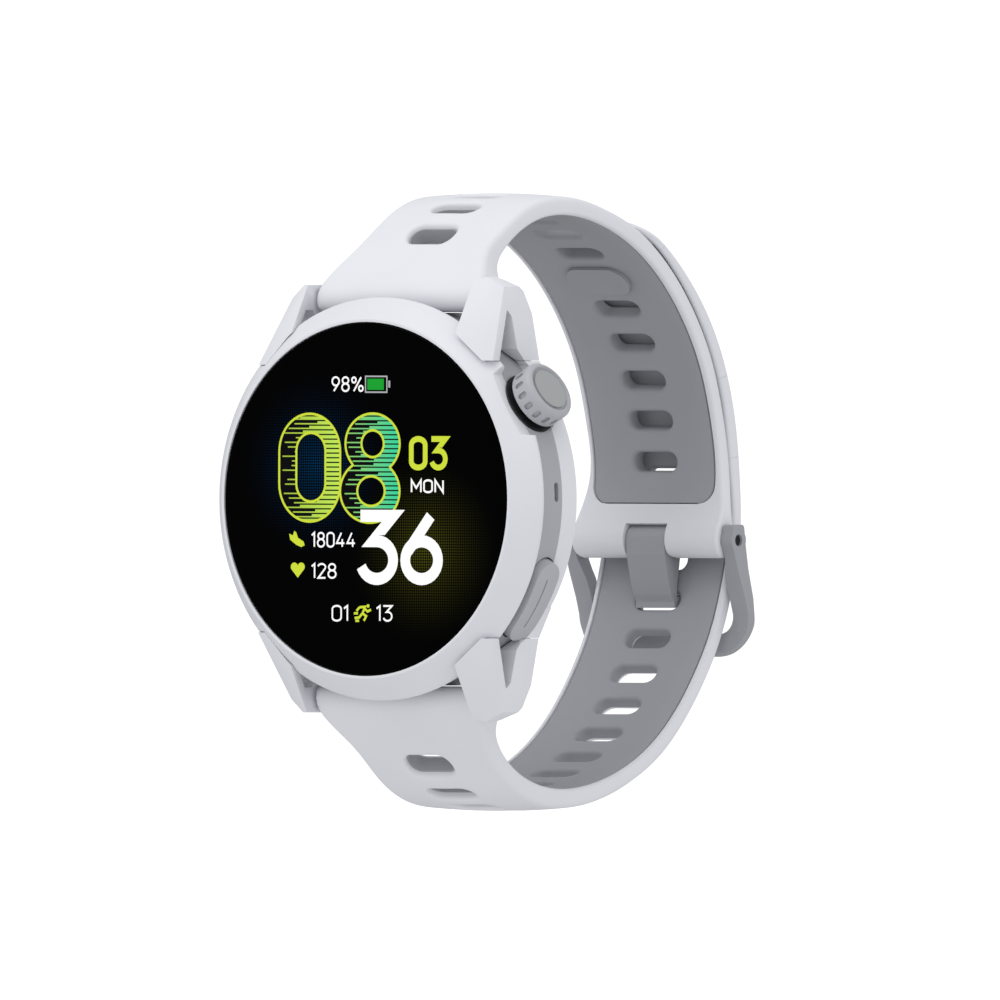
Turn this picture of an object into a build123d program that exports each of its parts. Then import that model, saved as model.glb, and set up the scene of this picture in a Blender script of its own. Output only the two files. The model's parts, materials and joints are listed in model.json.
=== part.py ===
from build123d import *
import os
from math import cos, radians, sin

# A round GPS running watch, closed on its strap, in millimetres.
#
# Row frame: +Z runs to 12 o'clock, +X to 3 o'clock (the crown side) and +Y away from
# the dial, towards the wrist. The origin is the centre of the flat window of the
# optical sensor, which rests on the wrist.
#
# Case parts are drawn face up (dial towards +Z, 12 o'clock towards +Y) and stood up
# at the end. "Depth" is always the distance behind the front of the cover glass.

# ---- driving dimensions ------------------------------------------------------------
TOTAL_DEPTH = 13.0        # front of the glass to the sensor window
CASE_DEPTH = 11.8         # front of the glass to the flat of the back cover
BEZEL_R = 21.7            # case diameter 43.4
WALL_R = 20.8             # side wall, set in below the bezel's rim
REAR_R = 21.0             # rim of the rear frame
GLASS_R = 19.0
GLASS_THICK = 1.0
BEZEL_BOTTOM = 3.3        # depths of the joints between the stacked shells
MID_BOTTOM = 7.55
FRAME_BOTTOM = 10.3
GAP = 0.1                 # assembly gap between neighbouring hard parts

STRAP_LUG_W = 22.0        # strap width between the lugs
STRAP_W = 17.6            # strap width round the wrist
KNUCKLE_W = 19.6          # strap width at the buckle
LINER_W = 16.3
LINER_THICK = 0.6
SLOT_PITCH = 4.5
SLOT_LENGTH = 5.7
SLOT_HEIGHT = 2.0

BAR_DEPTH, BAR_Z = 6.9, 21.9     # spring bar axis, depth and height
BAR_R = 0.75
BUCKLE_DEPTH, BUCKLE_Z = 51.75, -4.4  # buckle pin axis
BUCKLE_PIN_R = 0.6
TONGUE_W = 5.1
TAIL_SPLIT_Z = -3.7       # where the free tail bends off the lower strap

CROWN_ANGLE, CROWN_DEPTH = 30.0, 5.55
CROWN_R = 3.35
CROWN_FACE = 23.95        # radial distance of the crown's end face
CROWN_BACK = 21.25
CROWN_SEAT = 20.48        # flat that the crown's collar sits on
CROWN_TRAVEL = 0.5
BUTTON_ANGLE, BUTTON_DEPTH = -31.4, 6.1
BUTTON_HALF_SPAN = 12.8   # degrees
BUTTON_HEIGHT = 3.8
BUTTON_OUTER_R = 21.75
BUTTON_TRAVEL = 0.5
BUTTON_SPOT = 2.0         # its two plungers, to either side of its middle

MIN_ALIGN = (Align.CENTER, Align.CENTER, Align.MIN)
NODES = {}


# ---- helpers ------------------------------------------------------------------------
def height(depth):
    """Height of a depth in the face-up frame."""
    return TOTAL_DEPTH - depth


def turned(*profile):
    """Ring turned about the dial's axis from its (radius, depth) corners."""
    corners = [(radius, height(depth)) for radius, depth in profile]
    return revolve(make_face(Plane.XZ * Polyline(*corners, close=True)), Axis.Z)


def disc(radius, top, bottom):
    """Disc between two depths."""
    return Pos(0, 0, height(bottom)) * Cylinder(radius, bottom - top, align=MIN_ALIGN)


def ring(outer, inner, top, bottom):
    """Plain ring between two depths."""
    return disc(outer, top, bottom) - disc(inner, top - 1, bottom + 1)


def slab(x, y, width, length, top, bottom, corner=0.4):
    """Box with rounded corners between two depths."""
    outline = Pos(x, y) * RectangleRounded(width, length, corner)
    return Pos(0, 0, height(bottom)) * extrude(outline, bottom - top)


def radial(angle, depth):
    """Place whose local Z runs out from the dial's axis at an angle, local Y to the dial."""
    turn = radians(angle)
    return Plane(
        origin=(0, 0, height(depth)), x_dir=(-sin(turn), cos(turn), 0), z_dir=(cos(turn), sin(turn), 0)
    ).location


def rod(radius, start, end):
    """Rod along local Z."""
    return Pos(0, 0, start) * Cylinder(radius, end - start, align=MIN_ALIGN)


def tube(outer, inner, start, end):
    """Tube along local Z."""
    return rod(outer, start, end) - rod(inner, start - 1, end + 1)


def side(*points):
    """(depth, height) points as (Y, Z) of the row frame."""
    return [(depth - TOTAL_DEPTH, z) for depth, z in points]


def cross(face, half_width):
    """Profile in the YZ plane, drawn out to both sides."""
    return extrude(Plane.YZ * face, half_width, both=True)


def stand(part):
    """Turn a face-up part to the row frame."""
    return Rot(90, 0, 0) * part


def add(name, *parts):
    """Keep one node's solids, in the row frame."""
    solids = [solid for part in parts for solid in part.solids()]
    NODES[name] = solids[0] if len(solids) == 1 else Compound(children=solids)


def each_lug(make):
    """Pieces made for the crown side and, mirrored, for the far side, at 12 and at 6 o'clock."""
    pair = [make(*CROWN_SIDE), mirror(make(*FAR_SIDE), about=Plane.YZ)]
    return pair + [mirror(piece, about=Plane.XZ) for piece in pair]


# ---- lugs ----------------------------------------------------------------------------
LUG_INNER_X = 11.25
LUG_SLOPE = (0.466, 0.573, 1.0)         # normal of the flat front plate
LUG_PLATE = 0.95                        # thickness of the front plate
LUG_HEEL = (11.8, 17.4)                 # corner where the plate starts on the bezel, depth 1
# Footprint, footprint of the root, and how far the front plate is set back. The far side is slimmer.
CROWN_SIDE = (
    [(LUG_INNER_X, 17.9), LUG_HEEL, (14.85, 14.95), (15.95, 14.95), (14.5, 22.9), (12.5, 23.95), (LUG_INNER_X, 23.6)],
    [(16.0, 14.9), (17.6, 11.6), (13.0, 11.6), (13.0, 14.9)],
    0.0,
)
FAR_SIDE = (
    [(LUG_INNER_X, 17.9), LUG_HEEL, (14.3, 14.4), (15.7, 14.4), (13.5, 21.6), (12.0, 23.0), (LUG_INNER_X, 23.0)],
    [(15.8, 14.35), (17.4, 11.6), (13.0, 11.6), (13.0, 14.35)],
    0.5,
)


def before_plate(offset, margin=0.0):
    """Everything in front of the plane that lies this far behind a lug's front plate."""
    face = Plane(origin=(*LUG_HEEL, height(1.0)), z_dir=LUG_SLOPE)
    return face.location * Pos(0, 0, -offset - margin) * Box(80, 80, 40, align=MIN_ALIGN)


def prism(outline, top, bottom, margin=0.0):
    """Upright prism between two depths, its outline grown by a margin."""
    face = make_face(Polyline(*outline, close=True))
    if margin:
        face = offset(face, margin, kind=Kind.INTERSECTION)
    return Pos(0, 0, height(bottom)) * extrude(face, bottom - top)


def lug(outline, root, inset):
    """One lug: a sloping front plate and a rear arm that meet in a V at the tip."""
    rear = [(11, -2), (25, -2), (24.3, 5.6), (23.7, 7.2), (22.4, 8.8), (20.0, 9.75), (11, 9.95)]
    block = prism(outline, -1, FRAME_BOTTOM)
    block += prism(root, 5.0, FRAME_BOTTOM)
    block &= extrude(Plane.YZ * make_face(Polyline(*[(y, height(d)) for y, d in rear], close=True)), 20)
    block -= before_plate(inset)
    window = [(20.3, 3), (20.3, 5.5), (19.7, 6.05), (16.2, 6.2), (14.4, 7.6), (11, 7.6), (11, -2), (20.3, -2)]
    hole = extrude(Plane.YZ * make_face(Polyline(*[(y, height(d)) for y, d in window], close=True)), 20)
    hole -= before_plate(LUG_PLATE + inset)
    block -= hole
    block -= disc(WALL_R + GAP, -1, MID_BOTTOM) - before_plate(LUG_PLATE + inset)
    return block


def bar_hole(x_way, y_way):
    """Blind hole in a lug for one end of the spring bar."""
    hole = Box(2.1, 1.0, 1.0) & (Rot(0, 90, 0) * Cylinder(0.5, 3))
    return Pos(x_way * (LUG_INNER_X + 0.05), y_way * BAR_Z, height(BAR_DEPTH)) * hole


# ---- crown and button cuts -------------------------------------------------------------
def crown_notch():
    """Notch with chamfered corners in the bezel's rim, and the flat seat behind the crown."""
    outline = Polyline((-3.75, CROWN_SEAT), (3.75, CROWN_SEAT), (4.9, 22.2), (-4.9, 22.2), close=True)
    notch = radial(CROWN_ANGLE, CROWN_DEPTH) * extrude(make_face(Plane.XZ * outline), 12, both=True)
    return notch & ring(30, 15, 0, BEZEL_BOTTOM)


def button_shape(inner, outer, grow=0.0):
    """Curved bar with round ends, between two radii, following the case wall."""
    middle = (inner + outer) / 2
    half = BUTTON_HEIGHT / 2 + grow
    reach = BUTTON_OUTER_R * radians(BUTTON_HALF_SPAN) + grow
    band = ring(outer, inner, BUTTON_DEPTH - half, BUTTON_DEPTH + half)
    pill = SlotOverall(2 * reach, 2 * half)
    place = radial(BUTTON_ANGLE, BUTTON_DEPTH)
    return band & (place * Pos(0, 0, middle - 6) * extrude(pill, 12))


# ---- case --------------------------------------------------------------------------------
def plate_pocket(outline, root, inset):
    """Room in the bezel for the heel of a lug's front plate."""
    return prism(outline, -1, BEZEL_BOTTOM - 0.3, GAP) & before_plate(LUG_PLATE + inset, GAP)


def bezel_ring():
    body = turned(
        (GLASS_R + 0.06, 0.0), (GLASS_R + 0.36, 0.0), (BEZEL_R - 0.3, 2.3), (BEZEL_R, 2.75),
        (BEZEL_R, 3.1), (BEZEL_R - 0.2, BEZEL_BOTTOM), (17.4, BEZEL_BOTTOM), (17.4, 1.3),
        (GLASS_R + 0.06, 1.3),
    )
    for notch in each_lug(lambda outline, root, inset: prism(outline, -1, BEZEL_BOTTOM + 1, GAP)):
        body -= notch - disc(WALL_R + 0.02, -2, BEZEL_BOTTOM + 2)
    for pocket in each_lug(plate_pocket):
        body -= pocket
    return body - crown_notch()


def mid_case():
    """Side wall with a flat at 12 and 6 o'clock, the crown seat and the button's window."""
    body = turned(
        (WALL_R, BEZEL_BOTTOM), (WALL_R, MID_BOTTOM), (19.2, MID_BOTTOM), (19.2, BEZEL_BOTTOM)
    )
    for way in (1, -1):
        body -= Pos(0, way * 25.05, height(5.5)) * Box(2 * LUG_INNER_X, 10, 10)
    place = radial(CROWN_ANGLE, CROWN_DEPTH)
    boss = place * tube(2.6, 1.3, 18.2, 20.0)
    body += boss & disc(WALL_R, BEZEL_BOTTOM, MID_BOTTOM)
    body -= place * rod(CROWN_R + 0.3, CROWN_SEAT, 23)
    body -= place * rod(1.5, 17, 23)
    body -= button_shape(19.9, 24, GAP + 0.1)
    for spot in (-BUTTON_SPOT, BUTTON_SPOT):
        body -= radial(BUTTON_ANGLE, BUTTON_DEPTH) * Pos(spot, 0, 0) * rod(0.8, 17, 21)
    body -= radial(2.2, 6.55) * Pos(0, 0, 18.5) * extrude(SlotOverall(2.1, 0.7), 4)
    return body


def lug_frame():
    """Rear shell of the case with its four lugs."""
    body = turned(
        (WALL_R, MID_BOTTOM), (REAR_R, 9.4), (REAR_R, 9.9), (20.6, FRAME_BOTTOM),
        (17.0, FRAME_BOTTOM), (17.0, 9.6), (19.0, 9.6), (19.0, MID_BOTTOM),
    )
    for way in (1, -1):
        body -= Pos(0, way * 25.05, height(8.5)) * Box(2 * LUG_INNER_X, 10, 10)
    for piece in each_lug(lug):
        body += piece
    for x_way in (1, -1):
        for y_way in (1, -1):
            body -= bar_hole(x_way, y_way)
    body -= button_shape(19.9, 24, GAP + 0.1)
    body -= radial(CROWN_ANGLE, CROWN_DEPTH) * rod(CROWN_R + 0.3, CROWN_SEAT, 23)
    body -= ring(19.97, 19.23, 9.93, FRAME_BOTTOM + 1)
    for x, y in SCREW_SPOTS:
        body -= Pos(x, y, 0) * rod(0.45, height(FRAME_BOTTOM) - 0.1, height(9.6) + 0.1)
    return body


SCREW_SPOTS = [(x * 13.0, y * 12.6) for x in (-1, 1) for y in (-1, 1)]
SENSOR_R = 8.6


def back_cover():
    """Dished back cover with the raised sensor land and the charging recess."""
    body = turned(
        (0, FRAME_BOTTOM + 0.05), (19.9, FRAME_BOTTOM + 0.05), (20.0, FRAME_BOTTOM + 0.25),
        (17.6, CASE_DEPTH), (11.0, CASE_DEPTH), (SENSOR_R + 0.9, 12.5), (0, 12.5),
    )
    body -= disc(SENSOR_R + 0.06, 11.3, 14)
    body -= disc(7.4, 10, 12)
    for x, y in SCREW_SPOTS:
        body -= Pos(x, y, 0) * (rod(0.6, 0, 5) + rod(1.15, 0, height(11.35)))
    body -= slab(0, -13.6, 8.4, 2.6, 11.3, 12.5, 1.2)
    return body


def case_screws():
    screws = []
    for x, y in SCREW_SPOTS:
        head = rod(1.05, height(CASE_DEPTH) + 0.05, height(11.35))
        shank = rod(0.43, height(11.35), height(9.8))
        socket = Pos(0, 0, height(CASE_DEPTH)) * extrude(RegularPolygon(0.5, 6), 0.3)
        screws.append(Pos(x, y, 0) * (head + shank - socket))
    return screws


# ---- inside --------------------------------------------------------------------------------
def insides():
    """Everything that is sealed in the case."""
    add("glass_gasket", stand(ring(GLASS_R - 0.05, 17.5, GLASS_THICK, 1.28)))
    add("display_panel", stand(disc(16.9, GLASS_THICK, 2.4)))
    add("inner_frame", stand(disc(18.1, BEZEL_BOTTOM, 3.7) - slab(-6, 9, 5, 3, 3, 4)))
    add("gps_antenna", stand(ring(19.1, 17.9, 3.85, 4.9) - slab(20, -3, 20, 30, 3, 6)))
    board = disc(16.6, 3.8, 4.5)
    for x, y in SCREW_SPOTS:
        board -= Pos(x, y, 0) * rod(1.2, 0, 12)
    add("main_board", stand(board))
    chips = [(-7.5, 9.0, 7, 6), (1.5, 9.5, 6, 6), (9.0, 6.0, 5, 4), (9.0, -6.5, 6, 5)]
    add("board_shields", *[stand(slab(x, y, w, l, 4.5, 5.5)) for x, y, w, l in chips])
    add("battery", stand(slab(-2.5, -4.0, 21.0, 17.0, 5.7, 9.3, 2.0)))
    add("vibration_motor", stand(Pos(-11.0, 9.2, 0) * disc(2.9, 5.6, 8.2)))
    add("pressure_sensor", stand(slab(-15.4, -7.0, 2.6, 2.6, 5.0, 6.4, 0.4)))
    add("microphone", stand(radial(2.2, 6.55) * Pos(0, 0, 16.9) * extrude(RectangleRounded(3, 2, 0.3), 1.6)))
    add("back_gasket", stand(ring(19.93, 19.27, 9.95, FRAME_BOTTOM)))


def sensors():
    add("sensor_board", stand(slab(0, 0, 12.5, 11.0, 9.6, 10.2)))
    leds = [(0, 0, 2.0, 2.0), (0, 5.0, 1.4, 1.4), (0, -4.4, 1.4, 1.4)]
    add("sensor_leds", *[stand(slab(x, y, w, l, 10.2, 10.9, 0.2)) for x, y, w, l in leds])
    diodes = [(x * 4.2, y * 2.4, 2.2, 2.2) for x in (-1, 1) for y in (-1, 1)]
    add("photodiodes", *[stand(slab(x, y, w, l, 10.2, 10.9, 0.2)) for x, y, w, l in diodes])
    window = turned(
        (0, 11.35), (SENSOR_R, 11.35), (SENSOR_R, 12.5), (7.6, TOTAL_DEPTH - 0.12),
        (7.0, TOTAL_DEPTH), (0, TOTAL_DEPTH),
    )
    add("sensor_window", stand(window))
    pins = [Pos((step - 1.5) * 1.8, -13.6, 0) * rod(0.45, height(11.75), height(11.3)) for step in range(4)]
    add("charging_contacts", *[stand(pin) for pin in pins])


# ---- crown and button ------------------------------------------------------------------------
def crown():
    """Turning, pressing crown on its sealed stem, with the wheel and switch behind it."""
    place = radial(CROWN_ANGLE, CROWN_DEPTH)
    bore = 0.9
    knob = rod(CROWN_R, CROWN_BACK, CROWN_FACE)
    rims = knob.edges().filter_by(GeomType.CIRCLE).sort_by(Axis.Z)
    knob = fillet(rims[-1], 0.55)
    knob = fillet(knob.edges().filter_by(GeomType.CIRCLE).sort_by(Axis.Z)[0], 0.3)
    knob -= tube(2.62, 2.4, CROWN_FACE - 0.25, CROWN_FACE + 1)
    knob -= rod(2.3, CROWN_FACE - 0.35, CROWN_FACE + 1)
    knob -= rod(bore, CROWN_BACK - 1, CROWN_BACK + 1.8)
    pill = extrude(SlotOverall(1.3, 0.55), 1)
    for index in range(16):
        turn = Rot(0, 0, index * 360 / 16)
        knob -= turn * Pos(CROWN_R - 0.28, 0, (CROWN_BACK + CROWN_FACE) / 2 - 0.15) * Rot(0, 90, 0) * pill
    add("crown_knob", stand(place * knob))
    add("crown_cap", stand(place * rod(2.28, CROWN_FACE - 0.35, CROWN_FACE - 0.05)))
    stem = rod(bore, 16.6, CROWN_BACK + 1.8)
    for spot in (19.35, 19.95):
        stem -= tube(1.2, 0.7, spot, spot + 0.35)
    flat = Pos(0, 0.9 + 0.6, 17.1) * Box(3, 1.8, 2.6)
    stem -= flat
    add("crown_stem", stand(place * stem))
    seals = [tube(1.18, 0.72, spot + 0.03, spot + 0.32) for spot in (19.35, 19.95)]
    add("crown_seals", *[stand(place * seal) for seal in seals])
    sleeve = tube(1.48, 1.22, 18.3, 20.6) + tube(CROWN_R + 0.1, 1.22, CROWN_SEAT, 20.7)
    add("crown_tube", stand(place * sleeve))
    wheel = tube(1.8, bore + 0.03, 17.1, 17.9)
    wheel += Pos(0, 1.1, 17.1) * Box(1.2, 0.86, 0.8, align=MIN_ALIGN)
    wheel -= rod(bore + 0.03, 16, 19) - Pos(0, 0.63 + 1.0, 17.5) * Box(3, 2, 4)
    for index in range(12):
        wheel -= Rot(0, 0, 15 + index * 30) * Pos(1.8, 0, 16) * Cylinder(0.16, 3, align=MIN_ALIGN)
    add("crown_wheel", stand(place * wheel))
    add("crown_encoder", stand(place * Pos(0, -2.35, 17.1) * Box(1.6, 0.7, 0.8, align=MIN_ALIGN)))
    switch = Box(2.4, 2.1, 0.7, align=MIN_ALIGN) + rod(0.6, 0.7, 1.1)
    add("crown_switch", stand(place * Pos(0, 0, 14.9) * switch))


def button():
    """Rear function button with two sealed plungers, its bracket and its switch."""
    place = radial(BUTTON_ANGLE, BUTTON_DEPTH)
    cap = button_shape(20.55, BUTTON_OUTER_R)
    line = SlotOverall(6.0, 0.22)
    cap -= (place * Pos(0, 0, 18) * extrude(line, 6)) - disc(BUTTON_OUTER_R - 0.2, 0, 12)
    seals = []
    for spot in (-BUTTON_SPOT, BUTTON_SPOT):
        cap += place * Pos(spot, 0, 0) * rod(0.6, 18.4, 20.9)
        seals.append(place * Pos(spot, 0, 0) * tube(0.78, 0.64, 19.35, 19.8))
    add("button_cap", stand(cap))
    add("button_seals", *[stand(seal) for seal in seals])
    add("button_switch", stand(place * Pos(0, 0, 16.3) * Box(3.0, 2.2, 1.4, align=MIN_ALIGN)))
    add("button_bracket", stand(place * Pos(0, 0, 15.7) * Box(7.6, 2.9, 0.5, align=MIN_ALIGN)))


# ---- strap ------------------------------------------------------------------------------------
STRAP_GAP = 0.15          # between the tail and the strap under it
# Wrist-side curve of each half from the lug to the buckle: depth, height, strap thickness
UPPER = [
    (9.9, 22.6, 3.1), (13.4, 26.9, 2.8), (19.8, 30.15, 2.4), (26.0, 30.5, 2.3), (31.4, 29.4, 2.2),
    (35.4, 27.85, 2.1), (39.3, 25.6, 2.1), (42.8, 22.7, 2.1), (45.9, 19.2, 2.1), (48.9, 14.3, 2.1),
    (51.0, 8.0, 2.1), (51.75, 2.0, 2.2), (50.6, -2.2, 2.9),
]
LOWER = [
    (9.9, -22.6, 3.1), (13.0, -27.0, 2.8), (19.5, -30.6, 2.5), (26.0, -31.1, 2.4), (31.0, -30.3, 2.3),
    (36.3, -28.5, 2.2), (40.8, -26.0, 2.2), (44.9, -22.5, 2.1), (48.3, -18.4, 2.1),
    (50.6, -14.8, 2.1), (52.3, -10.9, 2.1), (53.6, -6.6, 2.1), (54.2, TAIL_SPLIT_Z, 2.1),
]
TAIL_FIRST, TAIL_LAST = 5, 11     # the tail lies over these points of the upper half
TAIL_THICK = [0.8, 1.2, 1.5, 1.8, 2.0, 2.1, 2.1]
LUG_END = [(6.2, 23.2), (5.35, 21.6), (5.5, 20.6), (6.2, 20.15), (8.6, 20.15), (9.6, 20.9), (10.0, 22.6)]
FIRST_UPPER_SLOT = 6.4    # along the curve from its buckle end
FIRST_LOWER_SLOT = 2.9
SLOT_COUNT = 13
FIRST_TAIL_SLOT = 1.55    # along the tail from its split
TAIL_SLOT_PITCH = 4.4     # so that the eighth one lies over the stud
TAIL_SLOT_COUNT = 9
STUD_STEP = 5             # the keeper stud fills this slot, counted from the buckle


def shifted(points, amounts, sign):
    """Points moved square to their curve: away from the wrist for a positive amount."""
    moved = []
    for index, (depth, z) in enumerate(points):
        before, after = points[max(index - 1, 0)], points[min(index + 1, len(points) - 1)]
        along = Vector(after[0] - before[0], after[1] - before[1]).normalized()
        step = sign * amounts[index]
        moved.append((depth - along.Y * step, z + along.X * step))
    return moved


def curve(points):
    return Spline(*side(*points))


def band(inner, outer, half_width):
    """Solid between two curves that run the same way."""
    first, last = curve(inner), curve(outer)
    return cross(make_face(first + last + Line(first @ 0, last @ 0) + Line(first @ 1, last @ 1)), half_width)


def plate(*points, half_width, soften=0.0):
    """Solid with a straight-sided (depth, height) profile, its corners rounded by a radius."""
    face = make_face(Polyline(*side(*points), close=True))
    return cross(fillet(face.vertices(), soften) if soften else face, half_width)


def front_view(points, near, far, soften=0.0):
    """Mirrored outline of (half width, height) points, drawn out between two depths."""
    corners = points + [(-x, z) for x, z in reversed(points)]
    face = make_face(Plane.XZ * Polyline(*corners, close=True))
    if soften:
        face = fillet(face.vertices(), soften)
    return Pos(0, near - TOTAL_DEPTH, 0) * extrude(face, far - near, dir=(0, 1, 0))


def cross_bar(radius, depth, z, half_width):
    """Rod along X."""
    return Pos(0, depth - TOTAL_DEPTH, z) * Rot(0, 90, 0) * Cylinder(radius, 2 * half_width)


def slot_place(path, distance):
    """Place on a curve, local Z square to it and local X across the strap."""
    here = path.position_at(distance, PositionMode.LENGTH)
    along = path.tangent_at(distance, PositionMode.LENGTH)
    return Plane(origin=(0, here.X, here.Y), x_dir=(1, 0, 0), z_dir=(0, -along.Y, along.X)).location


def slots(path, count, start, pitch=SLOT_PITCH):
    """Round-ended slots at an even pitch, counted from the buckle end of a curve."""
    pill = extrude(SlotOverall(SLOT_LENGTH, SLOT_HEIGHT), 4.5, both=True)
    return [slot_place(path, path.length - start - step * pitch) * pill for step in range(count)]


def strap_half(points, sign, slot_start):
    """One half of the strap, its liner and its wrist-side curve."""
    inner = [(depth, z) for depth, z, _ in points]
    outer = shifted(inner, [thick for _, _, thick in points], sign)
    wide, slim = STRAP_LUG_W / 2, STRAP_W / 2
    path = curve(inner)
    lug_end = [(depth, sign * z) for depth, z in LUG_END + [(9.0, 25.0), (7.6, 24.8)]]
    blank = band(inner, outer, wide) + plate(*lug_end, half_width=wide)
    front = [(wide, 19), (wide, 23.6), (slim + 0.6, 25.8), (slim, 27.2), (slim, 40)]
    body = blank & front_view([(x, sign * z) for x, z in front], -2, 22)
    if sign > 0:
        end = [(slim, 40), (slim, 3.5), (KNUCKLE_W / 2, -1.5), (KNUCKLE_W / 2, -8)]
        pin = (BUCKLE_DEPTH, BUCKLE_Z)
        blank += plate(inner[-1], (50.0, -3.6), pin, (53.7, -4.4), outer[-1], half_width=wide)
        blank += cross_bar(1.95, *pin, wide)
    else:
        end = [(slim, -40), (slim, 2)]
    body += blank & front_view(end, 22, 70)
    low, high = [-0.3] * len(inner), [LINER_THICK] * len(inner)
    layer = band(shifted(inner, low, sign), shifted(inner, high, sign), LINER_W / 2)
    layer &= front_view([(LINER_W / 2, sign * 40), (LINER_W / 2, -0.5 if sign > 0 else 2)], 15, 70)
    liner = layer & body
    body -= layer
    for slot in slots(path, SLOT_COUNT, slot_start):
        body -= slot
        liner -= slot
    body -= cross_bar(BAR_R + 0.03, BAR_DEPTH, sign * BAR_Z, 12)
    lever_way = Box(3.4, 6, 1.3, align=(Align.MIN, Align.MIN, Align.CENTER))
    body -= Pos(-9.3, BAR_DEPTH - TOTAL_DEPTH, sign * BAR_Z) * lever_way
    return body, liner, path


def straps():
    """Two strap halves with their liners, the free tail and the keeper stud."""
    body, liner, path = strap_half(UPPER, 1, FIRST_UPPER_SLOT)
    body -= cross_bar(BUCKLE_PIN_R, BUCKLE_DEPTH, BUCKLE_Z, 20)
    body -= Pos(0, BUCKLE_DEPTH - TOTAL_DEPTH, BUCKLE_Z - 2.0) * Box(5.6, 12, 8.4)
    add("upper_strap", body)
    add("upper_liner", liner)

    place = slot_place(path, path.length - FIRST_UPPER_SLOT - STUD_STEP * SLOT_PITCH)
    stud = Pos(0, 0, -0.45) * extrude(SlotOverall(7.9, 4.1), 0.45)
    stud += extrude(SlotOverall(SLOT_LENGTH - 0.1, SLOT_HEIGHT - 0.1), 2.1)
    stud += Pos(0, 0.35, 2.0) * extrude(RectangleRounded(4.0, 0.8, 0.3), 1.3)
    add("keeper_stud", (place * stud) - liner - body)

    body, liner, _ = strap_half(LOWER, -1, FIRST_LOWER_SLOT)
    add("lower_strap", body)
    add("lower_liner", liner)

    under = UPPER[TAIL_FIRST : TAIL_LAST + 1]
    seat = [thick + STRAP_GAP for _, _, thick in under]
    skins = []
    for extra in ([0.0] * len(under), [0.5] * len(under), TAIL_THICK):
        top = shifted([(d, z) for d, z, _ in under], [a + b for a, b in zip(seat, extra)], 1)
        skins.append(top + [(LOWER[-1][0] + extra[-1], TAIL_SPLIT_Z)])
    plan = front_view([(STRAP_W / 2, -6), (STRAP_W / 2, 26.8), (7.4, 28.6), (5.0, 29.6), (4.0, 32)], 22, 70)
    tail = band(skins[1], skins[2], STRAP_W / 2)
    rim = band(skins[0], skins[1], STRAP_W / 2)
    lining = rim & front_view([(LINER_W / 2, -6), (LINER_W / 2, 27.0)], 22, 70)
    tail = (tail + (rim - lining)) & plan
    for slot in slots(curve(skins[0]), TAIL_SLOT_COUNT, FIRST_TAIL_SLOT, TAIL_SLOT_PITCH):
        tail -= slot
        lining -= slot
    add("strap_tail", tail)
    add("tail_liner", lining & plan)


def spring_bars():
    """Spring bar at each lug pair, with its quick-release plunger and lever."""
    springs = []
    for name, sign in (("upper", 1), ("lower", -1)):
        place = Pos(0, BAR_DEPTH - TOTAL_DEPTH, sign * BAR_Z) * Rot(0, 90, 0)
        bar = rod(BAR_R, -9.6, 9.6) + rod(0.45, 9.6, LUG_INNER_X + 1.0)
        bar -= rod(0.6, -9.6, -2.0) + rod(0.48, -11, -9)
        lever_way = Box(1.3, 3, 3.4, align=MIN_ALIGN)
        bar -= Pos(0, 1.5, -9.3) * lever_way
        add(f"{name}_spring_bar", place * bar)
        plunger = rod(0.45, -LUG_INNER_X - 1.0, -8.9) + rod(0.56, -8.9, -7.3)
        plunger += Pos(0, 0, -8.6) * Box(0.9, 3.6, 0.9, align=(Align.CENTER, Align.MIN, Align.MIN))
        add(f"{name}_bar_release", place * plunger)
        springs.append(place * tube(0.55, 0.3, -5.9, -2.0))
    add("bar_springs", *springs)


# ---- buckle -------------------------------------------------------------------------------------
def buckle():
    """Buckle pin, the frame that swings on it and the tongue that hooks through the lower half."""
    add("buckle_pin", cross_bar(BUCKLE_PIN_R, BUCKLE_DEPTH, BUCKLE_Z, 11.1))
    bore = cross_bar(BUCKLE_PIN_R + 0.04, BUCKLE_DEPTH, BUCKLE_Z, 20)
    frame = plate(
        (52.7, -2.7), (52.95, -4.6), (53.5, -7.5), (54.4, -10.6), (54.75, -13.5), (54.4, -16.95), (53.2, -16.95),
        (53.65, -14.2), (53.5, -12.4), (52.9, -10.6), (51.7, -7.8), (50.55, -4.6), (50.8, -2.7),
        half_width=11.4, soften=0.45,
    )
    frame += cross_bar(1.3, BUCKLE_DEPTH, BUCKLE_Z, 11.4)
    frame &= front_view([(11.4, 6), (11.4, -16.95)], 40, 60, soften=4.5)
    frame -= front_view([(9.95, 6), (9.95, -6.4), (9.3, -8.6), (9.3, -14.5)], 40, 60, soften=2.0)
    add("buckle_frame", frame - bore)

    centre = Pos(0, BUCKLE_DEPTH - TOTAL_DEPTH, BUCKLE_Z) * Rot(0, 90, 0)
    hook = centre * (Cylinder(7.3, TONGUE_W) - Cylinder(6.15, 6))
    hook &= plate((51.9, -9.3), (53.4, -9.3), (53.4, -13), (51.9, -13), half_width=3)
    shank = plate(
        (50.1, -4.4), (50.2, -6.0), (50.9, -8.8), (51.45, -10.3), (52.2, -11.5), (52.45, -10.6), (52.55, -9.2),
        (53.0, -6.4), (52.9, -4.4), half_width=TONGUE_W / 2, soften=0.25,
    )
    hub = cross_bar(1.65, BUCKLE_DEPTH, BUCKLE_Z, TONGUE_W / 2)
    add("buckle_tongue", hook + shank + hub - bore)


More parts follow.
